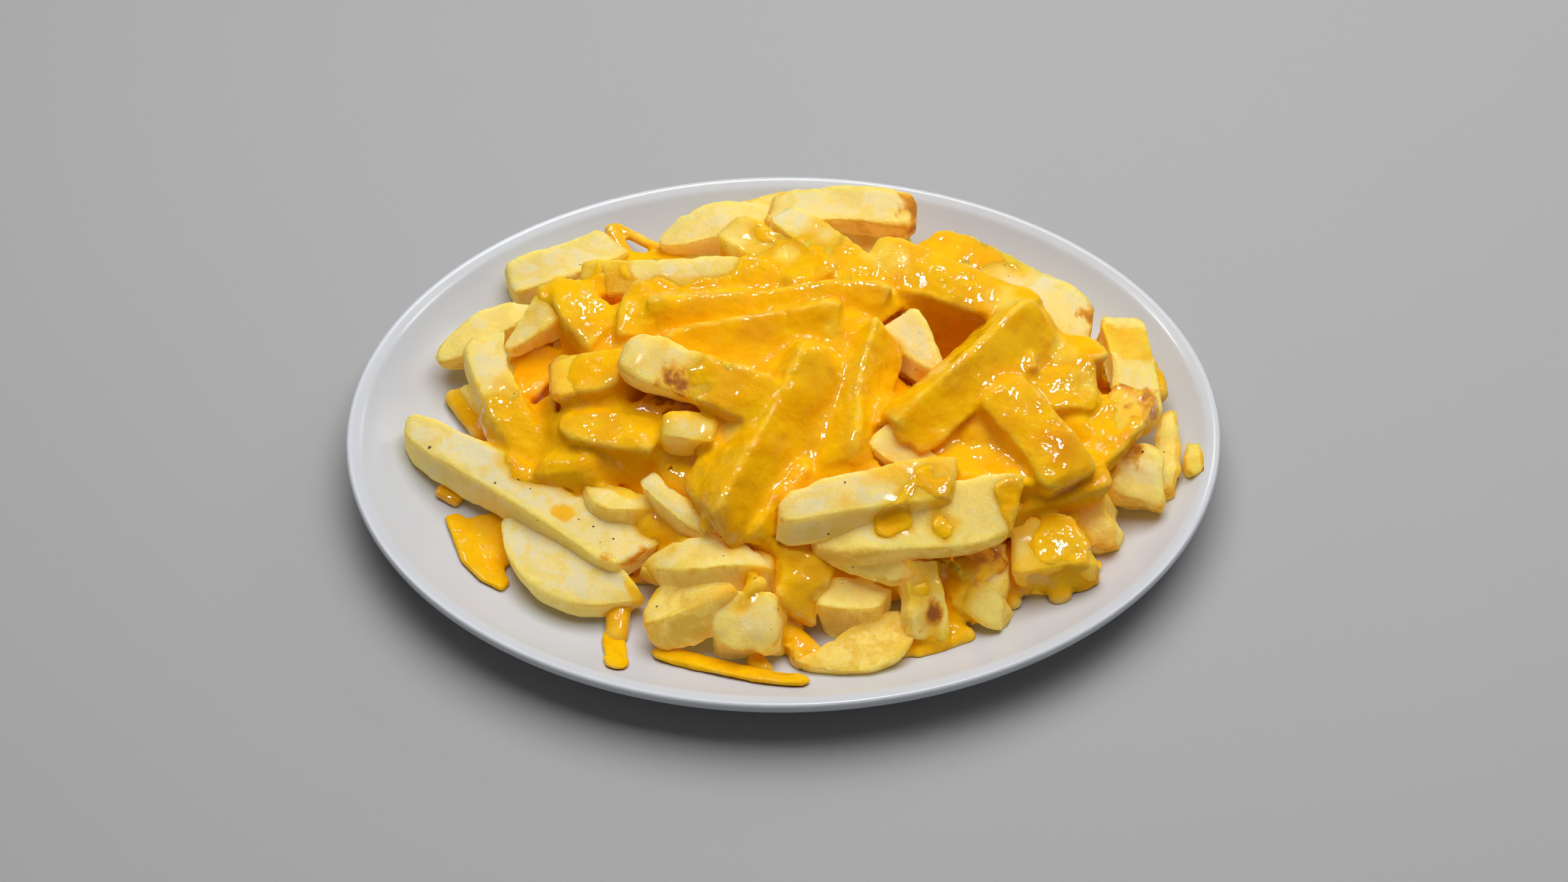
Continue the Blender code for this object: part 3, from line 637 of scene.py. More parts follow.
        ("bar", (48, 67, 13), (104, 35, 14), 17, 17, 0, 0, 0, 0.8, 0.3, 0.4, 0.2),
        ("bar", (-3, 86, 16), (46, 83, 17), 18, 16, 0, 0, 0, 0.3, 0.3, 0.4, 0.3),
        ("bar", (-38, 85, 13), (2, 89, 14), 15, 15, 0, 0, 0, 0.2, 0.3, 0.4, 0.3),
        ("bar", (112, 35, 14), (115, -7, 13), 17, 17, 0, 0, 0, 0.4, 0.6, 0.4, 0.3),
        ("bar", (92, -3, 15), (112, -29, 13), 16, 17, 0, 0, 0, 1.0, 0.6, 0.4, 0.3),
        ("bar", (-96, 21, 12), (-70, 53, 14), 16, 15, 0, 0, 0, 0.8, 0.6, 0.4, 0.3),
        ("bar", (-70, 71, 13), (-34, 75, 14), 16, 15, 0, 0, 0, 0.3, 0.8, 0.4, 0.3),
        ("bar", (-92, -5, 12), (-62, -35, 13), 16, 14, 0, 0, 0, 1.0, 1.0, 0.4, 0.3),
        ("bar", (66, -39, 13), (100, -35, 13), 15, 15, 0, 0, 0, 0.8, 0.8, 0.4, 0.3),
        ("bar", (12, -59, 12), (62, -57, 13), 15, 15, 0, 0, 0, 0.8, 0.8, 0.4, 0.3),
    ),
}
chips["rows"] = [Chip(*row) for row in chips["rows"]]


def chipFrame(row):
    start, end = Vector(row.start), Vector(row.end)
    along = (end - start).normalized()
    across = Vector((-along.y, along.x, 0.0)).normalized()
    up = along.cross(across)
    turn = Matrix.Rotation(math.radians(row.roll), 3, along)
    return start, end, along, turn @ across, turn @ up


def sizeAlong(form, share):
    # share of the full section at each place along a chip, from a form's name or its own stations
    stations = chips["forms"].get(form, form)
    return np.interp(share, [s for s, _ in stations], [v for _, v in stations])


def shareAlong(points, row):
    start, end, along, _, _ = chipFrame(row)
    return np.clip((points - np.array(start)) @ np.array(along) / (end - start).length, 0.0, 1.0)


def cutSection(wide, deep, radius, countWide, countDeep, bulges):
    # points round a rectangle with small round corners that always fall on the same points
    x, y, edge = [], [], []
    corners = ((1, 1, 0), (-1, 1, 90), (-1, -1, 180), (1, -1, 270))
    for index, (sideX, sideY, first) in enumerate(corners):
        for part in range(3):
            angle = math.radians(first + part * 45)
            x.append(sideX * (wide / 2 - radius) + radius * math.cos(angle))
            y.append(sideY * (deep / 2 - radius) + radius * math.sin(angle))
            edge.append(1.0)
        nextX, nextY, _ = corners[(index + 1) % 4]
        count = countDeep if index % 2 else countWide
        for part in range(1, count + 1):
            share = part / (count + 1)
            swell = bulges[index] * math.sin(math.pi * share)
            if index % 2:
                x.append(sideX * (wide / 2 + swell))
                y.append((sideY + (nextY - sideY) * share) * (deep / 2 - radius))
            else:
                x.append((sideX + (nextX - sideX) * share) * (wide / 2 - radius))
                y.append(sideY * (deep / 2 + swell))
            edge.append(float(smoothStep(chips["edgeFrom"], 1.0, abs(2 * share - 1))))
    return np.array(x), np.array(y), np.array(edge)


def buildChip(row, seed, step, own):
    # points, faces, and for every point how near an edge and how near an end it is
    start, end, along, across, up = chipFrame(row)
    length = (end - start).length
    draw = random.Random(seed)
    slants = [draw.uniform(-1, 1) * chips["slant"] for _ in range(4)]
    slants = own.get("slants", slants)
    trapeze = [draw.uniform(-1, 1) * chips["trapeze"] for _ in range(4)]
    bulges = [draw.uniform(*chips["bulge"]) for _ in range(4)]
    taper = own.get("taper", draw.uniform(-1, 1) * chips["taper"])
    thin = draw.uniform(-1, 1) * chips["taper"]
    twist = math.radians(draw.uniform(-chips["twist"], chips["twist"]))
    twist = twist * min(1.0, length / chips["fullTwist"])
    snake = draw.uniform(-chips["snake"], chips["snake"]) * min(1.0, length / chips["fullSnake"])
    phase = draw.uniform(0, math.tau)
    flat = own.get("flat", 0.0)
    waver, pace = chips["wobble"]
    tuckShare, tuckReach = chips["tuck"]
    countWide = max(chips["leastSteps"], int(row.width / step))
    countDeep = max(chips["leastSteps"], int(row.depth / step))
    rings = max(chips["leastRings"], int(length / step))
    radius = min(chips["corner"], chips["cornerMost"] * min(row.width, row.depth))
    fan = chips["fan"] * length
    points, edges, ends = [], [], []
    stations = [(0.0, shrink) for shrink in chips["capRings"]]
    stations += [(ring / rings, 1.0) for ring in range(rings + 1)]
    stations += [(1.0, shrink) for shrink in reversed(chips["capRings"])]
    for share, shrink in stations:
        size = float(sizeAlong(own.get("wide", row.form), share))
        wobble = 1 + waver * math.sin(pace * share + phase)
        run = 2 * share - 1
        wide = max(row.width * size * wobble * (1 + taper * run), chips["leastWide"] * radius)
        deep = row.depth * own.get("deep", 1.0) * (1 + min(size, 1.0)) / 2 * (2 - wobble) * (1 + thin * run)
        swells = [swell * min(1.0, size) for swell in bulges]
        x, y, edge = cutSection(wide, deep, radius, countWide, countDeep, swells)
        topper = trapeze[0] + trapeze[1] * run
        leaner = trapeze[2] + trapeze[3] * run
        x, y = x * (1 + topper * y * 2 / deep), y * (1 + leaner * x * 2 / wide)
        nearEnd = min(share, 1 - share) * length
        tuck = shrink * (1 - tuckShare * math.exp(-nearEnd / tuckReach))
        x, y = x * tuck, y * tuck
        turn = twist * (share - 0.5)
        x, y = x * math.cos(turn) - y * math.sin(turn), x * math.sin(turn) + y * math.cos(turn)
        slantX, slantY = slants[:2] if share < 0.5 else slants[2:]
        lift = (x * slantX + y * slantY) * max(0.0, 1 - nearEnd / fan)
        sag = 4 * share * (1 - share)
        side = row.bend * sag + snake * math.sin(math.tau * share + phase) + flat * (1 - size) * row.width / 2
        centre = start.lerp(end, share) + across * side + up * (row.arch * sag)
        points.append(np.array(centre) + np.outer(x, across) + np.outer(y, up) + np.outer(lift, along))
        edges.append(edge)
        ends.append(np.full(len(x), math.exp(-nearEnd / chips["endReach"])))
    faces = gridFaces(len(stations), len(x))
    return np.concatenate(points), faces, np.concatenate(edges), np.concatenate(ends)


# how cheese covers the heap

cover = {
    "edge": 0.5, "soft": 0.15, "ragged": 0.28, "raggedFrom": (0.0, 0.25),
    # what makes rims and thickness uneven: scale and seed, or amount, scale and seed
    "coarse": (9.0, 3.0), "fine": (0.3, 3.6, 8.0), "wander": (2.6, 7.0, 14.0),
    "sheerWander": (2.5, 6.0, 44.0), "thickWander": (0.35, 9.0, 21.0),
    "fade": 1.6,             # how fast a chip's own share of cheese fades with distance
    "deepest": -2.0, "limits": (-0.2, 1.2), "spotSoft": 2.0,
    "dripWeight": 2.0, "dripAmount": 1.1,
    "thick": 0.7, "bareDepth": -1.3, "bareRounds": 8, "bareMargin": 0.2,
    "wets": (0.16, 0.50),    # from where to where cheese close by wets a chip
    "sheerEdge": (0.4, 1.2),
    # where the cheese is so thin that it looks pale: place and radius
    "sheer": (
        ((76, 31, 54), 8.0), ((70, 24, 54), 6.0), ((20, 15, 55), 6.0), ((34, 56, 46), 7.0),
        ((42, 52, 46), 6.0), ((97, 14, 42), 6.0), ((104, 0, 40), 6.0), ((-34, 41, 45), 5.0),
        ((5, -48, 40), 5.0), ((62, -45, 44), 6.0), ((-20, -20, 44), 5.0), ((2, 60, 44), 6.0),
    ),
    # places that are bare (0) or covered (1) whatever their chip says: place, radius, value
    "spots": (
        ((-62, -24, 26), 7.0, 1.0),
        ((-75, -39, 23), 4.5, 1.0),
        ((-52, -31, 27), 5.5, 1.0),
        ((-85, -17, 22), 7.0, 1.0),
        ((-48, -67, 17), 6.0, 1.0),
        ((115, 26, 34), 6.0, 1.0),
        ((121, 25, 34), 6.5, 1.0),
        ((127, 24, 33), 6.0, 1.0),
        ((-49, 62, 36), 7.0, 0.1),
        ((-40, 61, 37), 7.0, 0.1),
        ((-31, 61, 38), 7.0, 0.1),
        ((-22, 60, 39), 7.0, 0.1),
        ((50, -45, 47), 6.0, 0.6),
        ((74, -46, 37), 7.0, 0.9),
        ((76, -52, 34), 6.0, 0.9),
        ((52, 9, 38), 5.0, 0.45),
        ((35, -58, 41), 6.5, 0.62),
        ((52, -60, 40), 5.5, 0.62),
        ((90, -55, 25), 7.0, 0.9),
        ((100, -52, 25), 7.0, 0.9),
    ),
}


# browned places: where, how far they reach, how strong

browned = (
    ((-38, -5, 53), 5.0, 0.9), ((-34, -9, 51), 4.0, 0.9), ((-41, -2, 53), 2.5, 0.5),
    ((49, -79, 18), 5.5, 1.0), ((46, -71, 22), 3.0, 0.6),
    ((-50, -59, 20), 6.0, 0.75), ((-60, -58, 21), 3.5, 0.6),
    ((49, 85, 36), 8.0, 0.8), ((50, 80, 32), 6.0, 0.8),
    ((108, 38, 31), 6.0, 0.8), ((110, 34, 27), 5.0, 0.6),
    ((125, -6, 33), 7.0, 0.9), ((119, -19, 30), 7.0, 0.8), ((126, 2, 32), 5.0, 0.8),
    ((64, -61, 21), 7.0, 0.8), ((70, -57, 21), 6.0, 0.7),
    ((-46, -77, 9), 4.0, 1.0), ((122, -33, 9), 7.0, 0.5), ((-78, 2, 31), 6.0, 0.5),
)


raggedBrown = {"amount": 0.8, "scale": 3.2, "from": 0.35, "to": 1.1}


def brownedAt(points):
    ragged = raggedBrown
    total = np.zeros(len(points))
    for centre, radius, strength in browned:
        far = farFrom(points, centre) * (1 + wave(points, ragged["amount"], ragged["scale"], radius))
        inside = 1 - smoothStep(radius * ragged["from"], radius * ragged["to"], far)
        total = np.maximum(total, strength * inside)
    return total


def coverAt(points, distances, shares):
    # share of cheese at each point from the pieces near it, then from the spots
    rows = chips["rows"]
    fade, soft = cover["fade"], cover["spotSoft"]
    weights = np.exp(-np.maximum(distances, cover["deepest"]) / fade) - math.exp(-skin["reach"] / fade)
    weights = np.maximum(weights, 0.0)
    weights[len(rows):] *= cover["dripWeight"]
    starts = np.array([[row.coverStart] for row in rows])
    ends = np.array([[row.coverEnd] for row in rows])
    amounts = starts * (1 - shares[:len(rows)]) + ends * shares[:len(rows)]
    drips = np.full((len(distances) - len(rows), len(points)), cover["dripAmount"])
    amounts = np.concatenate([amounts, drips])
    value = np.clip((weights * amounts).sum(0) / (weights.sum(0) + 1e-9), *cover["limits"])
    wander = wave(points, *cover["wander"])
    for centre, radius, target in cover["spots"]:
        near = 1 - smoothStep(radius - soft, radius + soft, farFrom(points, centre) + wander)
        value = value * (1 - near) + target * near
    return value


def roughen(points, normals, amounts, seed):
    # pushes points along their normals by several sizes of noise
    push = np.zeros(len(points))
    for index, (scale, amount) in enumerate(amounts):
        push += wave(points, amount, scale, seed + index * seedSteps["size"])
    return points + normals * push[:, None]


def settle(made, amounts, seed, gap):
    # roughens a piece and keeps it above the plate
    points = roughen(pointsOf(made), normalsOf(made), amounts, seed)
    abovePlate(points, gap)
    setPoints(made, points)
    return points


chipTrees = []


def buildChips():
    # every chip, roughened: the bare and half bare ones in one mesh, the coated ones in another; each
    # also leaves a tree to measure distances from
    groups = {"chunkyChips": [], "coatedChips": []}
    tones, browns = chips["tones"], chips["browns"]
    nibble, notchScale = chips["nibble"]
    for index, row in enumerate(chips["rows"]):
        coated = min(row.coverStart, row.coverEnd) >= chips["coatedFrom"]
        name = "coatedChips" if coated else "chunkyChips"
        step = chips["coatedStep"] if coated else chips["step"]
        own = chips["cuts"].get(index, {})
        chipPoints, chipFaces, edge, endness = buildChip(row, chips["firstSeed"] + index, step, own)
        alone = meshObject("oneChip", chipPoints, chipFaces, [])
        rough = chips["craggyRough"] if index in chips["craggy"] else chips["rough"]
        normals = normalsOf(alone)
        noiseSeed = noiseSeeds["chips"] + index * seedSteps["chip"]
        chipPoints = roughen(chipPoints, normals, rough, noiseSeed)
        notch = nibble * edge ** 2 * np.maximum(noiseAt(chipPoints, notchScale, index), 0.0)
        chipPoints = chipPoints - normals * notch[:, None]
        abovePlate(chipPoints, plateGap["chips"])
        bpy.data.objects.remove(alone, do_unlink=True)
        tree = BVHTree.FromPolygons([Vector(p) for p in chipPoints], chipFaces)
        facing = [Vector(normals[list(face)].mean(0)) for face in chipFaces]
        chipTrees.append((tree, facing, chipPoints.min(0), chipPoints.max(0)))
        # painted light: sides and undersides are made more golden, and so glow more, than the tops, standing
        # in for light that passes through the potato
        paintedSideLight = 1 - smoothStep(*chips["sideways"], normals[:, 2])
        toneAndSideLight = row.golden + tones["end"] * endness + tones["side"] * paintedSideLight + tones["edge"] * edge ** 2
        brown = row.browned * (browns["edge"] * edge ** 2 + browns["end"] * endness)
        fry = np.stack([toneAndSideLight, np.zeros(len(toneAndSideLight)), brown], 1)
        groups[name].append((chipPoints, chipFaces, fry))
    made = []
    for name, parts in groups.items():
        points, faces, fry = [], [], []
        for chipPoints, chipFaces, chipFry in parts:
            offset = sum(len(p) for p in points)
            points.append(chipPoints)
            faces += [tuple(corner + offset for corner in face) for face in chipFaces]
            fry.append(chipFry)
        made.append((meshObject(name, np.concatenate(points), faces, [friedPotato]), np.concatenate(fry)))
    return made


def allDistances(points):
    # signed distance from every chip, and how far along each chip every point is, then the drips as rods;
    # the side is told by the normals of the chip before it was roughened
    rows = chips["rows"]
    reach = skin["reach"]
    distances = np.full((len(rows) + len(skin["drips"]), len(points)), reach)
    shares = np.zeros((len(rows), len(points)))
    for index, (tree, facing, low, high) in enumerate(chipTrees):
        inside = np.all((points > low - reach) & (points < high + reach), axis=1)
        for place in np.nonzero(inside)[0]:
            point = Vector(points[place])
            spot, _, face, far = tree.find_nearest(point, reach)
            if spot is not None:
                distances[index, place] = far if (point - spot).dot(facing[face]) > 0 else -far
        shares[index] = shareAlong(points, rows[index])
    for index, (start, end, radius) in enumerate(skin["drips"]):
        start, end = np.array(start, float), np.array(end, float)
        share = np.clip((points - start) @ (end - start) / ((end - start) @ (end - start)), 0, 1)
        far = np.linalg.norm(points - start - share[:, None] * (end - start), axis=1) - radius
        distances[len(rows) + index] = np.minimum(far, reach)
    return distances, shares


dressedChips = buildChips()
print("chips made:", [len(made.data.polygons) for made, _ in dressedChips], "faces")


# the melted cheese over them: one skin that shows where it lies proud of the chips

def ballAlong(start, end, radius):
    # a round-ended rod
    start, end = Vector(start), Vector(end)
    along = (end - start).normalized()
    side = along.orthogonal().normalized()
    other = along.cross(side)
    rings, count = skin["rodRings"], skin["rodSides"]
    past = along * radius * skin["rodPast"]
    points = []
    for ring in range(rings):
        share = ring / (rings - 1)
        shrink = max(math.sin(math.pi * share), skin["rodLeast"]) ** skin["rodPower"]
        centre = (start - past).lerp(end + past, share)
        for column in range(count):
            turn = math.tau * column / count
            points.append(centre + (side * math.cos(turn) + other * math.sin(turn)) * radius * shrink)
    return points, gridFaces(rings, count)


def chipTops(x, y):
    # height of the topmost covered chip over each place, lower where chips are bare
    top = plateTop(np.stack([x, y], 1)) + skin["coreGap"]
    for row in chips["rows"]:
        start, end, _, _, _ = chipFrame(row)
        run = np.array([end.x - start.x, end.y - start.y])
        share = np.clip(((x - start.x) * run[0] + (y - start.y) * run[1]) / (run @ run), 0, 1)
        far = np.hypot(x - start.x - share * run[0], y - start.y - share * run[1])
        height = start.z + share * (end.z - start.z) + row.arch * 4 * share * (1 - share) + row.depth / 2
        covered = np.clip(row.coverStart * (1 - share) + row.coverEnd * share, 0, 1)
        height = height - skin["bareSink"] * (1 - covered)
        top = np.where(far < row.width * 0.5, np.maximum(top, height), top)
    return top


def blanketHeights():
    # chip tops on a grid, closed so that narrow gaps between high chips fill, then softened
    step = skin["gridStep"]
    across = np.arange(*skin["gridX"], step)
    deep = np.arange(*skin["gridY"], step)
    gridX, gridY = np.meshgrid(across, deep, indexing="ij")
    tops = chipTops(gridX.ravel(), gridY.ravel()).reshape(gridX.shape)
    reach = int(skin["closing"] / step)
    span = range(-reach, reach + 1)
    disc = [(i, j) for i in span for j in span if i * i + j * j <= reach * reach]
    high = np.max([np.roll(tops, shift, (0, 1)) for shift in disc], axis=0)
    closed = np.min([np.roll(high, shift, (0, 1)) for shift in disc], axis=0)
    for _ in range(skin["softRounds"]):
        around = [np.roll(closed, shift, (0, 1)) for shift in ((1, 0), (-1, 0), (0, 1), (0, -1))]
        closed = (closed + sum(around)) / 5
    return across, deep, closed


def sampled(across, deep, heights, x, y):
    # bilinear look-up
    step = skin["gridStep"]
    column = np.clip((x - across[0]) / step, 0, len(across) - 1.001)
    row = np.clip((y - deep[0]) / step, 0, len(deep) - 1.001)
    i, j = column.astype(int), row.astype(int)
    u, v = column - i, row - j
    return ((1 - u) * (1 - v) * heights[i, j] + u * (1 - v) * heights[i + 1, j]
            + (1 - u) * v * heights[i, j + 1] + u * v * heights[i + 1, j + 1])


def outsideGaps(x, y, inner, outer):
    # for one dark gap after another, how far outside it each place lies: 0 within it, 1 clear of it
    for (gapX, gapY), radius in skin["gaps"]:
        yield smoothStep(radius * inner, radius * outer, np.hypot(x - gapX, y - gapY))


def coreShape():
    # a blanket a little below the closed chip tops, with the dark gaps let in
    x, y = [], []
    count = skin["coreSides"]
    for ring in range(1, skin["coreRings"] + 1):
        reach = ring / skin["coreRings"]
        for column in range(count):
            angle = math.tau * column / count
            swell = 1 + skin["coreWave"] * math.sin(5 * angle + 0.6) + skin["coreWave"] * math.cos(8 * angle)
            x.append(skin["coreCentre"][0] + skin["coreHalf"][0] * reach * swell * math.cos(angle))
            y.append(skin["coreCentre"][1] + skin["coreHalf"][1] * reach * swell * math.sin(angle))
    x, y = np.array(x), np.array(y)
    height = sampled(*blanketHeights(), x, y) - skin["sink"]
    for outside in outsideGaps(x, y, *skin["gapOpen"]):
        height = height - skin["gapDepth"] * (1 - outside)
    height = np.maximum(height, plateTop(np.stack([x, y], 1)) + skin["coreGap"])
    points = list(zip(x, y, height))
    points += [(px, py, skin["coreFloor"]) for px, py, _ in points[-count:]]
    return points, gridFaces(skin["coreRings"] + 1, count)


def joinShapes(name, shapes, material):
    points, faces = [], []
    for shapePoints, shapeFaces in shapes:
        offset = len(points)
        points += [tuple(p) for p in shapePoints]
        faces += [tuple(corner + offset for corner in face) for face in shapeFaces]
    made = meshObject(name, points, faces, [material])
    build = bmesh.new()
    build.from_mesh(made.data)
    bmesh.ops.recalc_face_normals(build, faces=build.faces)
    build.to_mesh(made.data)
    build.free()
    return made


def applyModifiers(target):
    graph = bpy.context.evaluated_depsgraph_get()
    fresh = bpy.data.meshes.new_from_object(target.evaluated_get(graph))
    old = target.data
    target.modifiers.clear()
    target.data = fresh
    bpy.data.meshes.remove(old)
    fresh.name = target.name


def remeshed(target, voxel, smoothing):
    grid = target.modifiers.new("voxels", "REMESH")
    grid.mode = "VOXEL"
    grid.voxel_size = voxel * mm
    grid.use_smooth_shade = True
    soft = target.modifiers.new("soft", "SMOOTH")
    soft.factor = skin["softFactor"]
    soft.iterations = smoothing
    applyModifiers(target)


def coverWithNoise(points, distances, shares):
    amount = coverAt(points, distances, shares)
    ragged = cover["ragged"] * smoothStep(*cover["raggedFrom"], amount)
    amount = amount + ragged * noiseAt(points, *cover["coarse"])
    share, scale, seed = cover["fine"]
    return amount + share * ragged * noiseAt(points, scale, seed)


def riseWhenSmoothed(made, rounds):
    # how far plain smoothing would lift each point: above 0 in creases, below 0 on ridges
    points = pointsOf(made)
    soft = made.modifiers.new("soft", "SMOOTH")
    soft.factor = skin["softFactor"]
    soft.iterations = rounds
    graph = bpy.context.evaluated_depsgraph_get()
    flat = np.empty(len(points) * 3)
    made.evaluated_get(graph).data.vertices.foreach_get("co", flat)
    made.modifiers.clear()
    return ((flat.reshape(-1, 3) / mm - points) * normalsOf(made)).sum(1)


def fillCreases(made, openness):
    # of the smoothing only the lift is kept, so creases fill and ridges stay
    lift = np.clip(riseWhenSmoothed(made, skin["fillRounds"]), 0.0, skin["fillMost"]) * openness
    setPoints(made, pointsOf(made) + normalsOf(made) * lift[:, None])


def buildCheeseSkin():
    shapes = [coreShape()]
    for index, row in enumerate(chips["rows"]):
        if max(row.coverStart, row.coverEnd) >= skin["carries"] or index in skin["spotted"]:
            own = chips["cuts"].get(index, {})
            shapes.append(buildChip(row, chips["firstSeed"] + index, skin["chipStep"], own)[:2])
    shapes += [ballAlong(*drip) for drip in skin["drips"]]
    made = joinShapes("meltedCheese", shapes, meltedCheese)
    firstRounds, lastRounds = skin["remeshRounds"]
    remeshed(made, skin["voxel"], firstRounds)
    print("cheese skin remeshed:", len(made.data.polygons))
    lastTurn = skin["turns"] - 1
    for turn in range(skin["turns"]):
        if turn == lastTurn:
            # a second remesh clears the folds of the turns before
            remeshed(made, skin["voxel"], lastRounds)
        points = pointsOf(made)
        normals = normalsOf(made)
        distances, shares = allDistances(points)
        near = distances.min(0)
        amount = coverWithNoise(points, distances, shares)
        amount = smoothStep(cover["edge"] - cover["soft"], cover["edge"] + cover["soft"], amount)
        if turn == skin["fillTurn"]:
            # creases are filled once, where there is cheese and no gap
            openness = amount.copy()
            for outside in outsideGaps(points[:, 0], points[:, 1], *skin["gapUnfilled"]):
                openness *= outside
            fillCreases(made, openness)
            continue
        thick = cover["thick"] * (1 + wave(points, *cover["thickWander"]))
        target = cover["bareDepth"] * (1 - amount) + thick * amount
        # covered places come out to the coat's thickness, bare ones sink into the chip
        push = np.where(near < target, target - near, 0.0)
        pulled = (near > target) & (amount < 0.5) & (near < skin["pullReach"])
        pull = np.where(pulled, target - near, 0.0)
        move = np.clip(push + pull * (1 - amount), *skin["stepMost"])
        points = points + normals * (move * (1.0 if turn == lastTurn else skin["stepShare"]))[:, None]
        abovePlate(points, plateGap["turns"])
        setPoints(made, points)
    return made


def looseEnds(build, fewest):
    # faces of every separate bit that has fewer faces than asked
    seen, lost = set(), []
    for face in build.faces:
        if face in seen:
            continue
        bit, queue = [], [face]
        seen.add(face)
        while queue:
            here = queue.pop()
            bit.append(here)
            for line in here.edges:
                for other in line.link_faces:
                    if other not in seen:
                        seen.add(other)
                        queue.append(other)
        if len(bit) < fewest:
            lost += bit
    return lost


def softened(made, values, rounds):
    # averages a value over neighbouring vertices
    count = len(made.data.edges)
    flat = np.empty(count * 2, dtype=np.int32)
    made.data.edges.foreach_get("vertices", flat)
    first, second = flat.reshape(-1, 2).T
    total = len(values)
    around = np.bincount(first, minlength=total) + np.bincount(second, minlength=total)
    for _ in range(rounds):
        other = np.bincount(first, values[second], total) + np.bincount(second, values[first], total)
        values = 0.5 * values + 0.5 * other / np.maximum(around, 1)
    return values


def finishCheese(made):
    evened = skin["evened"]
    rise = softened(made, riseWhenSmoothed(made, skin["creaseRounds"]), evened["rise"])
    points = settle(made, skin["ripples"], noiseSeeds["skin"], plateGap["skin"])
    distances, shares = allDistances(points)
    near = distances.min(0)
    # painted shade: creases, where smoothing would lift the skin, take the crease colour
    creaseShade = smoothStep(*skin["creased"], rise)
    # painted shade: cheese that hangs in a gap, clear of the chips, takes the same dark colour as a crease
    for outside in outsideGaps(points[:, 0], points[:, 1], *skin["gapShade"]):
        creaseShade = np.maximum(creaseShade, (1 - outside) * smoothStep(*skin["hanging"], near))
    ridge = smoothStep(*skin["ridged"], -rise)
    wander = wave(points, *cover["sheerWander"])
    inner, outer = cover["sheerEdge"]
    for centre, radius in cover["sheer"]:
        far = farFrom(points, centre) + wander
        ridge = np.maximum(ridge, 1 - smoothStep(radius * inner, radius * outer, far))
    addColour(made, "melt", np.stack([smoothStep(*skin["thick"], near), creaseShade, ridge], 1))
    # what is buried in the chips is taken away, and bare places open up, but not the bridges over gaps
    # between chips; then goes every bit that is left alone
    amount = softened(made, coverAt(points, distances, shares), cover["bareRounds"])
    resting = softened(made, near, evened["bridge"]) < skin["bridge"]
    bare = (amount < cover["edge"] - cover["bareMargin"]) & resting
    buried = (softened(made, near, evened["buried"]) < skin["buried"]) | bare
    build = bmesh.new()
    build.from_mesh(made.data)
    build.verts.ensure_lookup_table()
    lost = [face for face in build.faces if all(buried[corner.index] for corner in face.verts)]
    bmesh.ops.delete(build, geom=lost, context="FACES")
    bmesh.ops.delete(build, geom=looseEnds(build, skin["fewest"]), context="FACES")
    # ragged rims left by that are evened out
    rim = [corner for corner in build.verts if corner.is_boundary]
    for _ in range(skin["rimRounds"]):
        bmesh.ops.smooth_vert(build, verts=rim, factor=skin["softFactor"],
                              use_axis_x=True, use_axis_y=True, use_axis_z=True)
    build.to_mesh(made.data)
    build.free()


cheeseSkin = buildCheeseSkin()
finishCheese(cheeseSkin)
print("cheese skin finished:", len(cheeseSkin.data.polygons), "faces")


def tintChips(made, fry):
    # chips turn wet and yellow where cheese is close
    points = pointsOf(made)
    distances, shares = allDistances(points)
    amount = coverWithNoise(points, distances, shares)
    fry[:, 1] = np.maximum(fry[:, 1], smoothStep(*cover["wets"], amount))
    fry[:, 2] = np.maximum(fry[:, 2], brownedAt(points))
    addColour(made, "fry", np.clip(fry, 0, 1))


for made, fry in dressedChips:
    tintChips(made, fry)
for piece in [made for made, _ in dressedChips] + [cheeseSkin]:
    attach(piece, "root")
    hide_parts("chips_and_cheese")


# burnt specks lying on the chips

specks = {
    "seed": 12, "reach": 12.0, "sides": 8,
    "rings": ((1.0, -0.1), (0.8, 0.16), (0.0, 0.26)),   # share of the breadth, height
    "uneven": (0.7, 1.25), "stretch": 1.3, "tip": 0.02,
    # place and breadth
    "places": (
        ((-116, 46, 24), 1.5), ((-123, -10, 23), 1.3), ((-93, -23, 23), 1.0), ((-99, -27, 22), 0.8),
        ((-65, -45, 22), 0.7), ((-91, -25, 23), 1.2), ((-58, -50, 22), 0.7), ((-31, -55, 28), 0.9),
        ((-15, -57, 24), 1.8), ((11, -57, 36), 0.9), ((14, -58, 36), 0.8), ((9, -60, 33), 0.7),
        ((140, -26, 18), 1.0), ((-70, -42, 23), 0.6), ((20, -46, 46), 0.7), ((-42, -77, 18), 0.7),
        ((-5, -80, 22), 0.7), ((-73, 62, 27), 0.6), ((60, -70, 20), 0.8), ((122, -20, 30), 0.9),
    ),
}


def nearestChip(place):
    # spot and normal on the nearest chip
    best = None
    for tree, *_ in chipTrees:
        spot, normal, _, far = tree.find_nearest(Vector(place), specks["reach"])
        if spot is not None and (best is None or far < best[2]):
            best = (spot, normal, far)
    return best[:2]


def buildSpecks():
    points, faces = [], []
    sides = specks["sides"]
    draw = random.Random(specks["seed"])
    for place, breadth in specks["places"]:
        spot, normal = nearestChip(place)
        side = normal.orthogonal().normalized()
        other = normal.cross(side)
        faces += gridFaces(len(specks["rings"]), sides, len(points))
        for ring, lift in specks["rings"]:
            for column in range(sides):
                angle = math.tau * column / sides
                reach = breadth / 2 * (ring * draw.uniform(*specks["uneven"]) + specks["tip"])
                around = side * math.cos(angle) * specks["stretch"] + other * math.sin(angle)
                points.append(spot + around * reach + normal * lift)
    made = meshObject("burntSpecks", points, faces, [burntSpeck])
    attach(made, "root")
    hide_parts("chips_and_cheese")


buildSpecks()


# loose pieces on the plate: the middle line, half the width and the height

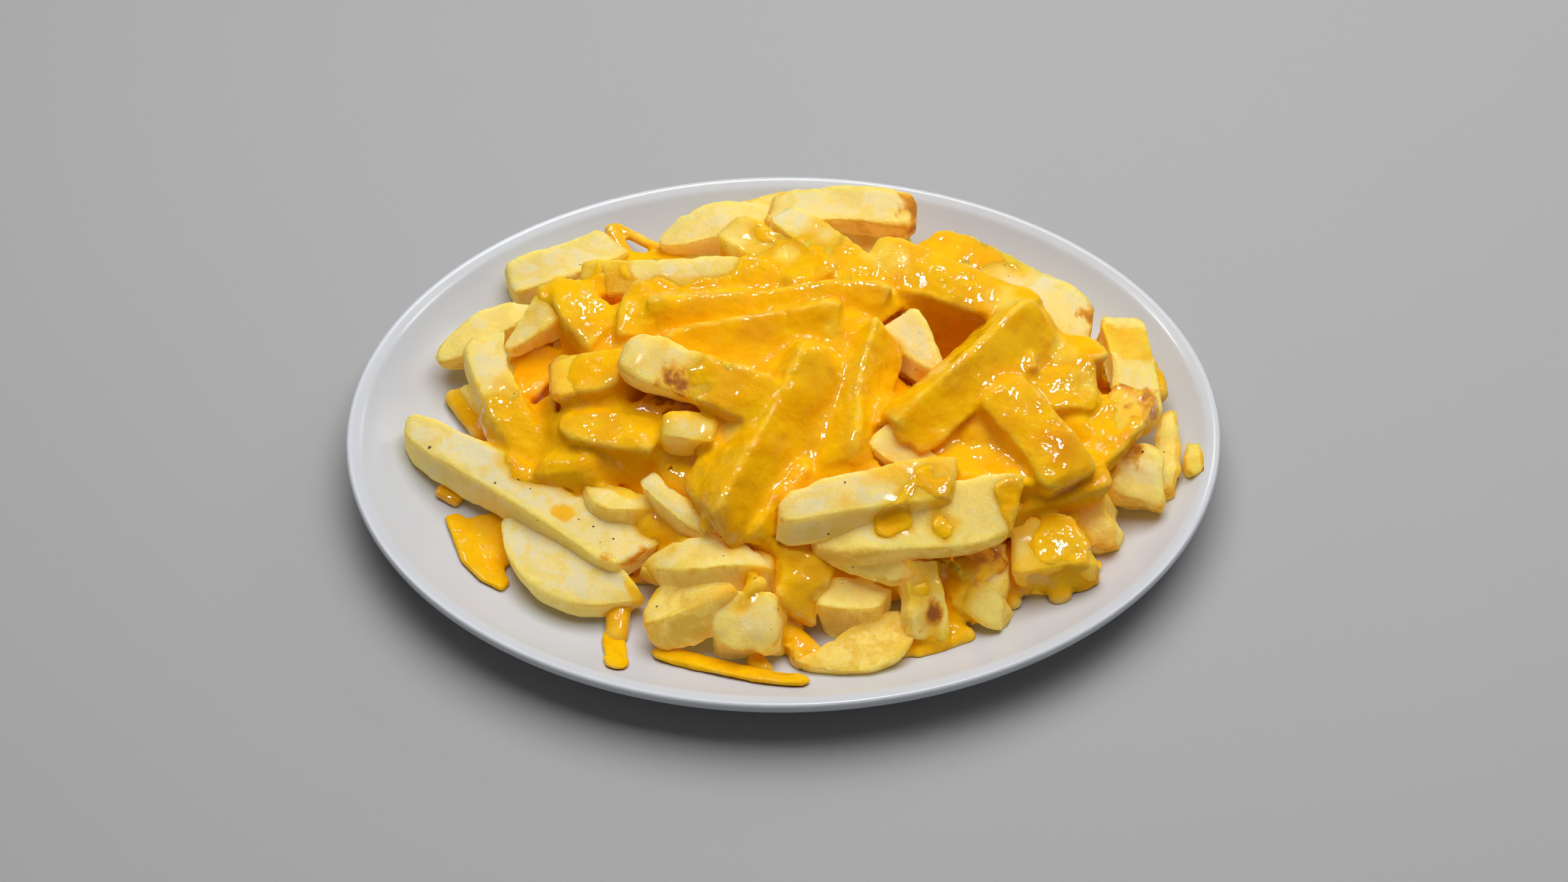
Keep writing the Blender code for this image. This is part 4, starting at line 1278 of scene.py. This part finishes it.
looseCheese = {
    "cheese_strip_front": (((-45, -87), (-34, -90), (-18, -96), (-4, -100.5), (8, -103)), 3.9, 3.4),
    "cheese_strip_left": (((-57, -77), (-57.5, -82), (-56.5, -90), (-56, -100)), 4.1, 2.8),
    "cheese_scrap_left": (((-121, -17), (-112, -22)), 3.1, 3.6),
    "cheese_drop_right": (((103.5, -54), (108, -54)), 2.9, 3.0),
}
loose = {
    "count": 26, "sides": 16,
    "round": 0.7,            # under 1 the section is squarer than an ellipse
    "endPower": 9, "endLeast": 0.02,     # how blunt the ends are, and the square of the smallest share
    "sits": 0.95,            # how high the middle lies, as a share of half the height
    "voxel": 0.7, "soften": 3, "ripples": ((7.0, 0.5), (2.5, 0.2)),
}


def smoothLine(corners, count):
    # Catmull-Rom through the points
    places = [Vector(c) for c in corners]
    places = [places[0] * 2 - places[1]] + places + [places[-1] * 2 - places[-2]]
    out = []
    for part in range(count):
        at = part / (count - 1) * (len(places) - 3)
        index = min(int(at), len(places) - 4)
        t = at - index
        a, b, c, d = places[index:index + 4]
        out.append(0.5 * ((2 * b) + (c - a) * t + (2 * a - 5 * b + 4 * c - d) * t * t
                          + (3 * b - a - 3 * c + d) * t * t * t))
    return out


def squared(value):
    return math.copysign(abs(value) ** loose["round"], value)


def buildLooseCheese(node, corners, halfWidth, height):
    count, sides = loose["count"], loose["sides"]
    line = smoothLine(corners, count)
    points = []
    for index, place in enumerate(line):
        along = (line[min(index + 1, count - 1)] - line[max(index - 1, 0)]).normalized()
        share = index / (count - 1)
        shrink = max(1 - abs(2 * share - 1) ** loose["endPower"], loose["endLeast"]) ** 0.5
        for side in range(sides):
            angle = math.tau * side / sides
            across = halfWidth * shrink * squared(math.cos(angle))
            lift = height / 2 * shrink * squared(math.sin(angle))
            x = place.x - along.y * across
            y = place.y + along.x * across
            z = float(plateTop([(x, y)])[0]) + height / 2 * loose["sits"] + lift
            points.append((x, y, z))
    made = joinShapes("loose_" + node, [(points, gridFaces(count, sides))], meltedCheese)
    remeshed(made, loose["voxel"], loose["soften"])
    settle(made, loose["ripples"], noiseSeeds["loose"], plateGap["loose"])
    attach(made, "root")
    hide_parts(node)


for node, (corners, halfWidth, height) in looseCheese.items():
    buildLooseCheese(node, corners, halfWidth, height)


# the pool at the front left

pool = {
    "outline": (
        (-118, -29), (-114, -27), (-110, -30), (-104, -28), (-96, -25), (-90, -35),
        (-88, -43), (-96, -51), (-93.5, -57), (-96, -61.5), (-104, -58), (-111, -49),
    ),
    "rings": ((0.0, 0.0), (0.7, 0.0), (1.0, 0.8)),   # share of the depth, and how far it draws in
    "depth": 2.6, "voxel": 0.8, "soften": 6, "ripples": ((9.0, 0.5), (3.0, 0.2)),
}


def buildPool():
    corners = [Vector(corner) for corner in pool["outline"]]
    centre = sum(corners, Vector((0.0, 0.0))) / len(corners)
    points = []
    for level, shrink in pool["rings"]:
        lift = pool["depth"] * level
        for corner in corners:
            place = corner + (centre - corner).normalized() * shrink
            z = float(plateTop([(place.x, place.y)])[0]) + plateGap["loose"] + lift
            points.append((place.x, place.y, z))
    made = joinShapes("cheesePool", [(points, gridFaces(len(pool["rings"]), len(corners)))], meltedCheese)
    remeshed(made, pool["voxel"], pool["soften"])
    settle(made, pool["ripples"], noiseSeeds["pool"], plateGap["loose"])
    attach(made, "root")
    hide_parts("chips_and_cheese")


buildPool()


# the fried crumb at the right

crumb = {
    "row": Chip("block", (142, -10, 18.5), (142, -23, 18), 6, 7, 0, 0, 0, 0, 0, 0.9, 0.8),
    "seed": 3, "step": 0.9, "rough": ((5.0, 1.0), (2.0, 0.5)),
    "golden": 0.8, "wet": 0.3, "browned": 0.5,
}


def buildCrumb():
    points, faces, edge, _ = buildChip(crumb["row"], crumb["seed"], crumb["step"], {})
    made = meshObject("friedCrumb", points, faces, [friedPotato])
    points = roughen(points, normalsOf(made), crumb["rough"], noiseSeeds["crumb"])
    abovePlate(points, plateGap["loose"])
    setPoints(made, points)
    golden = np.full(len(points), crumb["golden"])
    wet = np.full(len(points), crumb["wet"])
    addColour(made, "fry", np.stack([golden, wet, crumb["browned"] * edge], 1))
    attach(made, "root")
    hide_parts("fried_crumb_right")


buildCrumb()
print("loose pieces made")


# floor, lights and camera, in metres

floorSize = 30.0
lights = {
    "world": 0.10,
    # direction, distance, the two sides, power
    "overhead": ((0.08, 0.26, 0.96), 1.15, 1.05, 1.05, 15.0),
    "glintOver": ((0.06, 0.38, 0.92), 1.15, 0.09, 0.26, 3.6),
    "glintBack": ((-0.16, 0.70, 0.70), 1.15, 0.08, 0.18, 1.3),
    "glintLeft": ((-0.48, 0.30, 0.82), 1.15, 0.09, 0.24, 2.8),
    "glintRight": ((0.55, 0.16, 0.82), 1.15, 0.09, 0.24, 2.8),
    "windowBehind": ((0.63, 0.62, 0.46), 1.6, 0.28, 0.36, 1.6),
}
view = {
    "elevation": 51.6, "azimuth": -0.64, "target": (0.0003, 0.0087, 0.0), "distance": 1.0,
    "sensor": 36.0, "lens": 64.26, "clip": 0.05,
}


def buildFloor():
    half = floorSize / 2 / mm
    corners = [(-half, -half, 0), (half, -half, 0), (half, half, 0), (-half, half, 0)]
    made = meshObject("floor", corners, [(0, 1, 2, 3)], [makeFloorMaterial()])


def addLight(name):
    direction, distance, sizeX, sizeY, power = lights[name]
    data = bpy.data.lights.new(name, "AREA")
    data.shape = "RECTANGLE"
    data.size = sizeX
    data.size_y = sizeY
    data.energy = power
    made = bpy.data.objects.new(name, data)
    direction = Vector(direction).normalized()
    made.location = direction * distance
    made.rotation_euler = direction.to_track_quat("Z", "Y").to_euler()
    bpy.context.scene.collection.objects.link(made)
    return made


def setLights():
    world = bpy.data.worlds.new("studio")
    world.use_nodes = True
    world.node_tree.nodes["Background"].inputs["Color"].default_value = (1, 1, 1, 1)
    world.node_tree.nodes["Background"].inputs["Strength"].default_value = lights["world"]
    bpy.context.scene.world = world
    # the wide one gives the soft shadows; wet places and the glaze mirror only the small ones
    addLight("overhead").visible_glossy = False
    for name in ("glintOver", "glintBack", "glintLeft", "glintRight"):
        addLight(name).visible_diffuse = False
    addLight("windowBehind")


def setCamera():
    data = bpy.data.cameras.new("photoView")
    made = bpy.data.objects.new("photoView", data)
    elevation = math.radians(view["elevation"])
    azimuth = math.radians(view["azimuth"])
    level = math.cos(elevation)
    back = Vector((math.sin(azimuth) * level, -math.cos(azimuth) * level, math.sin(elevation)))
    right = Vector((math.cos(azimuth), math.sin(azimuth), 0.0))
    place = Matrix((right, back.cross(right), back)).transposed().to_4x4()
    place.translation = Vector(view["target"]) + back * view["distance"]
    made.matrix_world = place
    data.sensor_width = view["sensor"]
    data.lens = view["lens"]
    data.clip_start = view["clip"]
    bpy.context.scene.collection.objects.link(made)
    bpy.context.scene.camera = made


buildFloor()
setLights()
setCamera()
bpy.context.scene.view_settings.view_transform = "Standard"
print("scene set")
